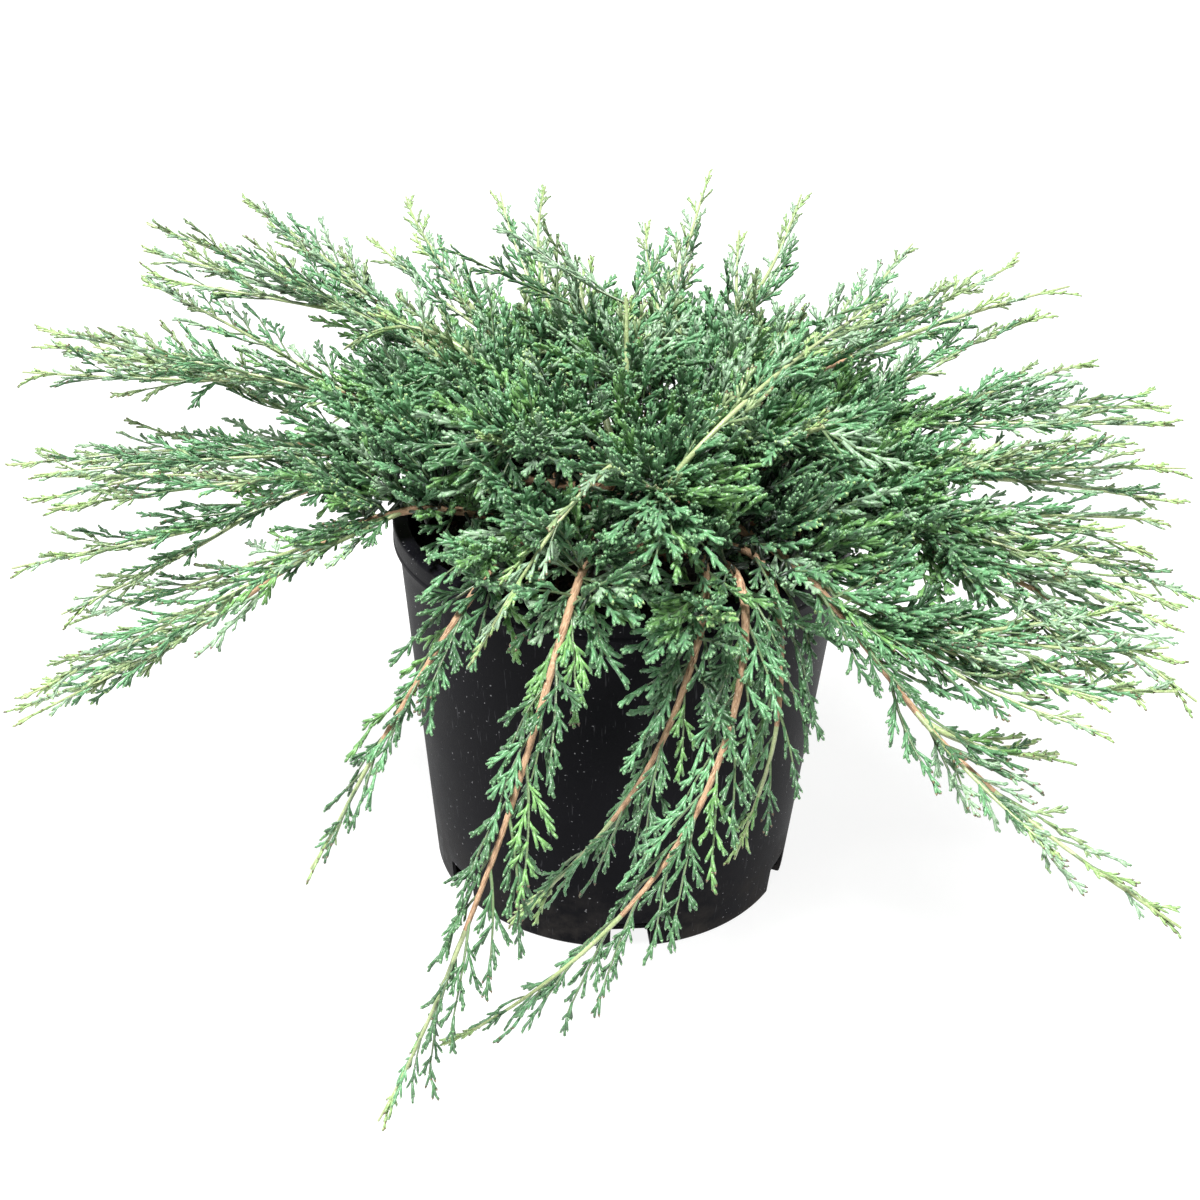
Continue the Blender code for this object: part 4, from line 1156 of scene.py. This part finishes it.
def twig_tree():
    """Sweeps a round section along lines of edges, by their thickness, with bark relief."""
    tree, given, result = new_tree("twigs_on_lines", [
        ("Sides", "NodeSocketInt"), ("Relief", "NodeSocketFloat"),
        ("Relief Scale", "NodeSocketFloat"), ("Finish", "NodeSocketMaterial")])
    thick = named_values(tree, "thick", "FLOAT")
    lines = add_node(tree, "GeometryNodeMeshToCurve")
    section = add_node(tree, "GeometryNodeCurvePrimitiveCircle", {"mode": "RADIUS"}, {"Radius": 1.0})
    along = add_node(tree, "GeometryNodeSplineParameter")
    keep_along = add_node(tree, "GeometryNodeCaptureAttribute", {"domain": "POINT"})
    keep_along.capture_items.new("FLOAT", "Along")
    about = add_node(tree, "GeometryNodeSplineParameter")
    keep_about = add_node(tree, "GeometryNodeCaptureAttribute", {"domain": "POINT"})
    keep_about.capture_items.new("FLOAT", "Round")
    sweep = add_node(tree, "GeometryNodeCurveToMesh", None, {"Fill Caps": True})
    laid = add_node(tree, "ShaderNodeCombineXYZ")
    stretch = add_node(tree, "ShaderNodeMath", {"operation": "MULTIPLY"}, {1: BARK_MAP_SCALE})
    store = add_node(tree, "GeometryNodeStoreNamedAttribute",
                     {"data_type": "FLOAT2", "domain": "CORNER"}, {"Name": "bark_map"})
    rough = add_node(tree, "ShaderNodeTexNoise", None, {"Detail": 3.0, "Roughness": 0.6})
    place = add_node(tree, "GeometryNodeInputPosition")
    middle = add_node(tree, "ShaderNodeMath", {"operation": "SUBTRACT"}, {1: 0.5})
    height = add_node(tree, "ShaderNodeMath", {"operation": "MULTIPLY"})
    normal = add_node(tree, "GeometryNodeInputNormal")
    push = add_node(tree, "ShaderNodeVectorMath", {"operation": "SCALE"})
    move = add_node(tree, "GeometryNodeSetPosition")
    smooth = add_node(tree, "GeometryNodeSetShadeSmooth")
    real = add_node(tree, "GeometryNodeRealizeInstances")
    dress = add_node(tree, "GeometryNodeSetMaterial")
    join(tree,
         (given, "Geometry", lines, "Mesh"),
         (lines, "Curve", keep_along, "Geometry"),
         (along, "Length", keep_along, "Along"),
         (given, "Sides", section, "Resolution"),
         (section, "Curve", keep_about, "Geometry"),
         (about, "Factor", keep_about, "Round"),
         (keep_along, "Geometry", sweep, "Curve"),
         (keep_about, "Geometry", sweep, "Profile Curve"),
         (thick, "Attribute", sweep, "Scale"),
         (keep_about, "Round", laid, "X"),
         (keep_along, "Along", stretch, 0),
         (stretch, 0, laid, "Y"),
         (sweep, "Mesh", store, "Geometry"),
         (laid, "Vector", store, "Value"),
         (place, "Position", rough, "Vector"),
         (given, "Relief Scale", rough, "Scale"),
         (rough, "Fac", middle, 0),
         (middle, 0, height, 0),
         (given, "Relief", height, 1),
         (normal, "Normal", push, 0),
         (height, 0, push, "Scale"),
         (store, "Geometry", move, "Geometry"),
         (push, "Vector", move, "Offset"),
         (move, "Geometry", smooth, "Geometry"),
         (smooth, "Geometry", real, "Geometry"),
         (real, "Geometry", dress, "Geometry"),
         (given, "Finish", dress, "Material"),
         (dress, "Geometry", result, "Geometry"))
    return tree


def link_object(name, mesh):
    """A mesh object in the scene."""
    obj = bpy.data.objects.new(name, mesh)
    bpy.context.scene.collection.objects.link(obj)
    return obj


def made_plain(obj):
    """Evaluate the object's modifiers and keep the result as its plain mesh."""
    bpy.context.view_layer.update()
    graph = bpy.context.evaluated_depsgraph_get()
    mesh = bpy.data.meshes.new_from_object(obj.evaluated_get(graph))
    obj.modifiers.clear()
    old = obj.data
    obj.data = mesh
    bpy.data.meshes.remove(old)
    mesh.name = obj.name
    return obj


def run_tree(obj, tree, values):
    """Evaluate the tree on the object with the given values for its inputs."""
    modifier = obj.modifiers.new("grow", "NODES")
    modifier.node_group = tree
    for item in tree.interface.items_tree:
        if item.in_out == "INPUT" and item.name in values:
            modifier[item.identifier] = values[item.name]
    return made_plain(obj)


def whorl_mesh(name, heights, widths, point):
    """A finger of leaves in turned whorls of three: each ring's corners are leaf tips."""
    work = bmesh.new()
    rings = []
    for k, (height, width) in enumerate(zip(heights, widths)):
        spin = k * math.pi / 3
        rings.append([work.verts.new((width * math.cos(spin + a), width * math.sin(spin + a), height))
                      for a in (0, 2 * math.pi / 3, 4 * math.pi / 3)])
    work.faces.new(rings[0][::-1])
    for low, high in zip(rings, rings[1:]):
        for i in range(3):
            work.faces.new((low[i], low[(i + 1) % 3], high[i]))
            work.faces.new((low[(i + 1) % 3], high[(i + 1) % 3], high[i]))
    top = work.verts.new((0, 0, point))
    for i in range(3):
        work.faces.new((rings[-1][i], rings[-1][(i + 1) % 3], top))
    bmesh.ops.recalc_face_normals(work, faces=work.faces)
    mesh = bpy.data.meshes.new(name)
    work.to_mesh(mesh)
    work.free()
    mesh.shade_smooth()
    return mesh


def finger_piece(name, rows, shape, tree, finish, seed):
    """One piece of many fingers, from rows of root, aim, thickness and length."""
    mesh = bpy.data.meshes.new(name)
    mesh.vertices.add(len(rows))
    mesh.vertices.foreach_set("co", rows[:, 0:3].astype(np.float32).ravel())
    sizes = np.stack([rows[:, 6], rows[:, 6], rows[:, 7]], axis=1)
    for label, values in (("aim", rows[:, 3:6]), ("size", sizes)):
        attribute = mesh.attributes.new(label, "FLOAT_VECTOR", "POINT")
        attribute.data.foreach_set("vector", values.astype(np.float32).ravel())
    obj = link_object(name, mesh)
    run_tree(obj, tree, {"Finger": shape, "Fullness": 1.0, "Seed": seed, "Finish": finish})
    for label in ("aim", "size"):
        if label in obj.data.attributes:
            obj.data.attributes.remove(obj.data.attributes[label])
    return obj


def pieces_of(groups, prefix, shape, tree, most):
    """The pieces of one kind, by finish, each with a limited number of fingers."""
    made = []
    for number, (finish, rows) in enumerate(sorted(groups.items())):
        rows = np.vstack(rows)
        for part in range(math.ceil(len(rows) / most)):
            name = f"{prefix}_{finish}_{part + 1}"
            made.append(finger_piece(name, rows[part * most:(part + 1) * most], shape, tree,
                                     LEAF_FINISHES[finish], FINGER_SEED + number))
    return made


def line_piece(name, lines, tree, bark, finish):
    """One piece of many tubes, from lines of points with their radii."""
    mesh = bpy.data.meshes.new(name)
    points = np.vstack([line for line, _ in lines])
    radii = np.concatenate([radii for _, radii in lines])
    counts = [len(line) for line, _ in lines]
    starts = np.concatenate([[0], np.cumsum(counts)[:-1]])
    edges = np.vstack([np.stack([np.arange(n - 1), np.arange(1, n)], 1) + s
                       for n, s in zip(counts, starts)])
    mesh.vertices.add(len(points))
    mesh.vertices.foreach_set("co", points.astype(np.float32).ravel())
    mesh.edges.add(len(edges))
    mesh.edges.foreach_set("vertices", edges.astype(np.int32).ravel())
    thick = mesh.attributes.new("thick", "FLOAT", "POINT")
    thick.data.foreach_set("value", radii.astype(np.float32))
    return run_tree(link_object(name, mesh), tree,
                    {"Sides": bark.sides, "Relief": bark.relief, "Relief Scale": bark.scale,
                     "Finish": finish})


# The pot and the soil


def turned_object(name, profile, steps):
    """A profile of radius and height turned about the pot's axis."""
    mesh = bpy.data.meshes.new(name)
    mesh.from_pydata([(r, 0, z) for r, z in profile],
                     [(i, i + 1) for i in range(len(profile) - 1)], [])
    obj = link_object(name, mesh)
    screw = obj.modifiers.new("turn", "SCREW")
    screw.steps = steps
    screw.render_steps = steps
    screw.use_merge_vertices = True
    screw.merge_threshold = MERGE_WITHIN
    return obj


def rounded(before, corner, after, radius):
    """Points on an arc that rounds a corner between two others."""
    before, corner, after = (np.array(p, float) for p in (before, corner, after))
    start = corner + unit(before - corner) * radius
    end = corner + unit(after - corner) * radius
    return [tuple(p) for p in bent_line(start, corner, end, ROUND_POINTS)]


def block_mesh(name, places, edge, segments):
    """Blocks with bevelled edges, each a unit cube at its place."""
    work = bmesh.new()
    for place in places:
        bmesh.ops.create_cube(work, size=1, matrix=place)
    bmesh.ops.bevel(work, geom=work.edges[:], offset=edge, segments=segments, affect="EDGES")
    mesh = bpy.data.meshes.new(name)
    work.to_mesh(mesh)
    work.free()
    return mesh


def finish_smooth(obj, finish):
    """Shade an object smooth and give it its finish."""
    obj.data.shade_smooth()
    obj.data.materials.clear()
    obj.data.materials.append(finish)


def pot_profile():
    """Inside wall, rolled lip, groove and bead, outside wall and foot."""
    inner_foot = wall_radius(POT_FLOOR) - WALL - FLOOR_FILLET
    inner_rim = (LIP_INNER_RADIUS, POT_HEIGHT)
    outer_rim = (RIM_RADIUS, POT_HEIGHT)
    profile = [(0, POT_FLOOR), (inner_foot, POT_FLOOR)]
    profile += [(wall_radius(POT_FLOOR + FLOOR_FILLET) - WALL, POT_FLOOR + FLOOR_FILLET)]
    inside = np.linspace(INSIDE_FROM, LIP_BOTTOM - 2 * WALL, INSIDE_POINTS)
    profile += [(wall_radius(z) - WALL, z) for z in inside]
    profile += [(LIP_INNER_RADIUS, LIP_BOTTOM)]
    profile += rounded((LIP_INNER_RADIUS, LIP_BOTTOM), inner_rim, outer_rim, LIP_INNER_ROUND)
    profile += rounded(inner_rim, outer_rim, (RIM_RADIUS, LIP_BOTTOM), LIP_OUTER_ROUND)
    profile += [
        (RIM_RADIUS - GROOVE_DEPTH, LIP_BOTTOM + GROOVE_HEIGHT),
        (RIM_RADIUS, LIP_BOTTOM + BEAD_HEIGHT),
        (RIM_RADIUS, LIP_BOTTOM + BEAD_ROUND),
        (RIM_RADIUS - BEAD_ROUND, LIP_BOTTOM),
        (WALL_TOP_RADIUS + LIP_UNDERSIDE_STEP, LIP_BOTTOM - LIP_UNDERSIDE_TOP),
        (WALL_TOP_RADIUS, LIP_BOTTOM - LIP_UNDERSIDE_FOOT),
    ]
    outside = np.linspace(LIP_BOTTOM - OUTSIDE_BELOW_LIP, OUTSIDE_TO, OUTSIDE_POINTS)
    profile += [(wall_radius(z), z) for z in outside]
    profile += rounded((wall_radius(OUTSIDE_TO), OUTSIDE_TO), (BASE_RADIUS, 0), (0, 0), FOOT_ROUND)
    return profile + [(0, 0)]


def make_pot():
    """The pot with its thick rolled lip, a fine bead under it and six notches."""
    pot = turned_object("pot_shell", pot_profile(), POT_STEPS)
    size = Matrix.Diagonal((2 * NOTCH_DEPTH, NOTCH_WIDTH, 2 * NOTCH_HEIGHT, 1))
    notches = [Matrix.Rotation(NOTCH_FIRST + 2 * math.pi * k / NOTCH_COUNT, 4, "Z")
               @ Matrix.Translation((BASE_RADIUS, 0, 0)) @ size for k in range(NOTCH_COUNT)]
    cutter = link_object("notch_cutter", block_mesh("notch_cutter", notches, NOTCH_ROUND, 2))
    cut = pot.modifiers.new("notches", "BOOLEAN")
    cut.object = cutter
    made_plain(pot)
    bpy.data.objects.remove(cutter, do_unlink=True)
    finish_smooth(pot, pot_material())
    pot.data.set_sharp_from_angle(angle=POT_SHARP_ANGLE)
    return pot


def make_soil():
    """The root ball, crumbly on top."""
    top = [(r, soil_height(r)) for r in np.linspace(0, SOIL_RADIUS, SOIL_RINGS)]
    side = [(wall_radius(z) - WALL - 2 * GAP, z)
            for z in np.linspace(SOIL_EDGE_HEIGHT, SOIL_FOOT_HEIGHT, SOIL_SIDE_POINTS)]
    foot_radius = BASE_RADIUS - NOTCH_DEPTH - SOIL_FOOT_STEP
    foot = [(foot_radius, SOIL_FOOT_HEIGHT), (foot_radius, POT_FLOOR + GAP), (0, POT_FLOOR + GAP)]
    soil = made_plain(turned_object("soil_ball", top + side + foot, SOIL_STEPS))
    work = bmesh.new()
    work.from_mesh(soil.data)
    for vert in work.verts:
        radius = math.hypot(vert.co.x, vert.co.y)
        if vert.co.z > LUMPY_FROM and radius < LUMPY_RADIUS:
            lump = noise.fractal(vert.co * LUMP_SCALE, *LUMP_DETAIL) * LUMP_HEIGHT
            vert.co.z += (lump - LUMP_DROP) * min(1.0, (LUMPY_RADIUS - radius) / LUMP_FADE)
    work.to_mesh(soil.data)
    work.free()
    finish_smooth(soil, soil_material())
    return soil


def make_chips(tree):
    """Chips of bark scattered over the soil, clear of the stem."""
    rng = np.random.default_rng(SOIL_SEED)
    radius = CHIP_RADII[1] * np.sqrt(rng.random(CHIP_COUNT))
    angle = rng.random(CHIP_COUNT) * 2 * math.pi
    keep = radius > CHIP_RADII[0]
    kept = keep.sum()
    places = around(np.stack([radius, soil_height(radius)], 1), angle)[keep]
    aims = unit(rng.normal(0, 1, (kept, 3)) * CHIP_FLATNESS)
    rows = np.hstack([places, aims, rng.uniform(*CHIP_THICK, (kept, 1)),
                      rng.uniform(*CHIP_LENGTH, (kept, 1))])
    chip = link_object("chip", block_mesh("chip", [Matrix.Diagonal(CHIP_SECTION)], CHIP_BEVEL, 1))
    chips = finger_piece("soil_chips", rows, chip, tree, chip_material(), CHIP_SEED)
    bpy.data.objects.remove(chip, do_unlink=True)
    return chips


# The stage


def make_camera():
    """The camera where the photograph was taken from, looking down at the rim."""
    level_reach = math.cos(CAMERA_PITCH)
    ahead = Vector((math.sin(CAMERA_YAW) * level_reach, math.cos(CAMERA_YAW) * level_reach,
                    -math.sin(CAMERA_PITCH)))
    level = Vector((math.cos(CAMERA_YAW), -math.sin(CAMERA_YAW), 0))
    rise = level.cross(ahead)
    right = level * math.cos(CAMERA_ROLL) + rise * math.sin(CAMERA_ROLL)
    up = rise * math.cos(CAMERA_ROLL) - level * math.sin(CAMERA_ROLL)
    camera = bpy.data.objects.new("camera", bpy.data.cameras.new("camera"))
    bpy.context.scene.collection.objects.link(camera)
    turned = Matrix((right, up, -ahead)).transposed().to_4x4()
    camera.matrix_world = Matrix.Translation(CAMERA_PLACE) @ turned
    camera.data.sensor_width = CAMERA_SENSOR
    camera.data.lens = CAMERA_LENS
    camera.data.clip_start = CAMERA_NEAR
    bpy.context.scene.camera = camera


def make_floor():
    """A pale floor with a low rim far off."""
    work = bmesh.new()
    bmesh.ops.create_circle(work, cap_ends=True, segments=STAGE_STEPS, radius=STAGE_RADIUS)
    far = bmesh.ops.extrude_edge_only(work, edges=work.edges[:])["geom"]
    bmesh.ops.translate(work, verts=[v for v in far if isinstance(v, bmesh.types.BMVert)],
                        vec=(0, 0, STAGE_RIM_HEIGHT))
    mesh = bpy.data.meshes.new("floor")
    work.to_mesh(mesh)
    work.free()
    floor = link_object("floor", mesh)
    pale = bpy.data.materials.new("floor_white")
    pale.use_nodes = True
    finish_shader(pale.node_tree, pale.node_tree.nodes["Principled BSDF"], {}, {
        "Base Color": STAGE_GREY,
        "Roughness": 0.9,
        "Emission Color": WHITE,
        "Emission Strength": STAGE_GLOW,
    })
    floor.data.materials.append(pale)


def make_light():
    """Even light from all round and a soft key from high in front."""
    scene = bpy.context.scene
    scene.world = scene.world or bpy.data.worlds.new("world")
    scene.world.use_nodes = True
    sky = scene.world.node_tree.nodes["Background"]
    sky.inputs["Color"].default_value = WHITE
    sky.inputs["Strength"].default_value = SKY_STRENGTH
    light = bpy.data.lights.new("key", "SUN")
    light.energy = SUN_STRENGTH
    light.angle = SUN_WIDTH
    lamp = bpy.data.objects.new("key", light)
    lamp.rotation_euler = Vector(SUN_FROM).to_track_quat("Z", "Y").to_euler()
    scene.collection.objects.link(lamp)
    scene.view_settings.view_transform = "Standard"


# Putting it together


def grow_plant():
    """Every limb, tuft, dome shoot and skirt, with the barked and the young lines."""
    growth = Growth(GROWTH_SEED)
    barked = []
    young = []
    lines = []
    for limb in LIMBS:
        line = limb_route(limb)
        share = np.linspace(0, 1, ROUTE_POINTS)
        fine = smooth_line(line, LIMB_POINTS)
        radii = np.interp(np.linspace(0, 1, LIMB_POINTS), share, route_radius(share))
        turn = int(LIMB_POINTS * (BARKED_RISING if limb.tip > LOW_TIP else BARKED_LOW))
        barked.append((fine[:turn + 1], radii[:turn + 1]))
        young.append((fine[turn:], radii[turn:]))
        habit = habit_of(limb)
        growth.along_limb(line, habit)
        for side in SIDE_LIMBS:
            if side.limb == limb.name:
                growth.side_limb(line, side)
        if habit in (HANGING, DROOPING):
            growth.keep_in_view(fine)
        reach = radii_of(line)
        inside = (reach > OLD_LIMB_RADII[0]) & (reach < OLD_LIMB_RADII[1])
        growth.old_growth(line[inside], *OLD_ON_LIMBS)
        lines.append(line)
    for crown in CROWNS:
        line = crown_route(crown)
        young.append((line, route_radius(np.linspace(*CROWN_TAPER, ROUTE_POINTS))))
        growth.old_growth(line[len(line) // 4:], *OLD_ON_CROWNS)
        length = float(np.linalg.norm(np.diff(line, axis=0), axis=1).sum())
        growth.along(line, CROWNING, CROWN_LEAFY * length, CROWN_BASE)
        for side in SIDE_LIMBS:
            if side.limb == crown.name:
                growth.side_limb(line, side)
        lines.append(line)
    growth.fill_dome(lines)
    for skirt in SKIRTS:
        growth.fill_skirt(lines, skirt)
    return growth, barked, young


def stem_line():
    """The stem from its root flare at the soil to its rounded top, with its radii."""
    foot = SOIL_CENTRE_HEIGHT + GAP
    heights = np.linspace(foot, STEM_TOP, STEM_POINTS)
    flare = (STEM_FLARE_RADIUS - STEM_FOOT_RADIUS) * np.exp(-(heights - foot) / FLARE_HEIGHT)
    cap = np.sqrt(np.clip((STEM_TOP - heights) / STEM_CAP_HEIGHT, STEM_CAP_LEAST, 1))
    line = np.stack([0 * heights, 0 * heights, heights], 1)
    return line, (stem_radius(heights) + flare) * cap


def main():
    """Make every piece, set the stage and finish."""
    make_camera()
    make_floor()
    make_light()
    fingers = finger_tree()
    twigs = twig_tree()
    pot = make_pot()
    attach(pot, "root")
    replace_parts(pot, "pot")
    soil = make_soil()
    chips = make_chips(fingers)
    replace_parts(soil, "soil")
    for piece in (soil, chips):
        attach(piece, "root")
    growth, barked, young = grow_plant()
    bark = bark_material()
    limbs = line_piece("limbs_bark", barked, twigs, LIMB_BARK, bark)
    stem = line_piece("stem_bark", [stem_line()], twigs, STEM_BARK, bark)
    young_piece = line_piece("young_shoots", young + growth.forks, twigs, YOUNG_BARK,
                             LEAF_FINISHES["young_wood"])
    twig_piece = line_piece("fine_twigs", growth.twigs, twigs, TWIG_BARK, LEAF_FINISHES["twig_green"])
    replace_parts(limbs, *[f"limb_{limb.name}" for limb in LIMBS])
    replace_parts(stem, "stem")
    body = link_object("finger", whorl_mesh("finger", *FINGER_RINGS))
    tip = link_object("tip", whorl_mesh("tip", *TIP_RINGS))
    leafy = pieces_of(growth.leafy, "fingers", body, fingers, FINGERS_A_PIECE)
    tips = pieces_of(growth.tips, "tips", tip, fingers, TIPS_A_PIECE)
    for helper in (body, tip):
        bpy.data.objects.remove(helper, do_unlink=True)
    masses = [f"plume_{limb.name}" for limb in LIMBS] + [crown.name for crown in CROWNS]
    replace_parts(leafy[0], *masses)
    for piece in (limbs, stem):
        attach(piece, "root")
    for piece in (young_piece, twig_piece, *leafy, *tips):
        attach(piece, "root")


main()
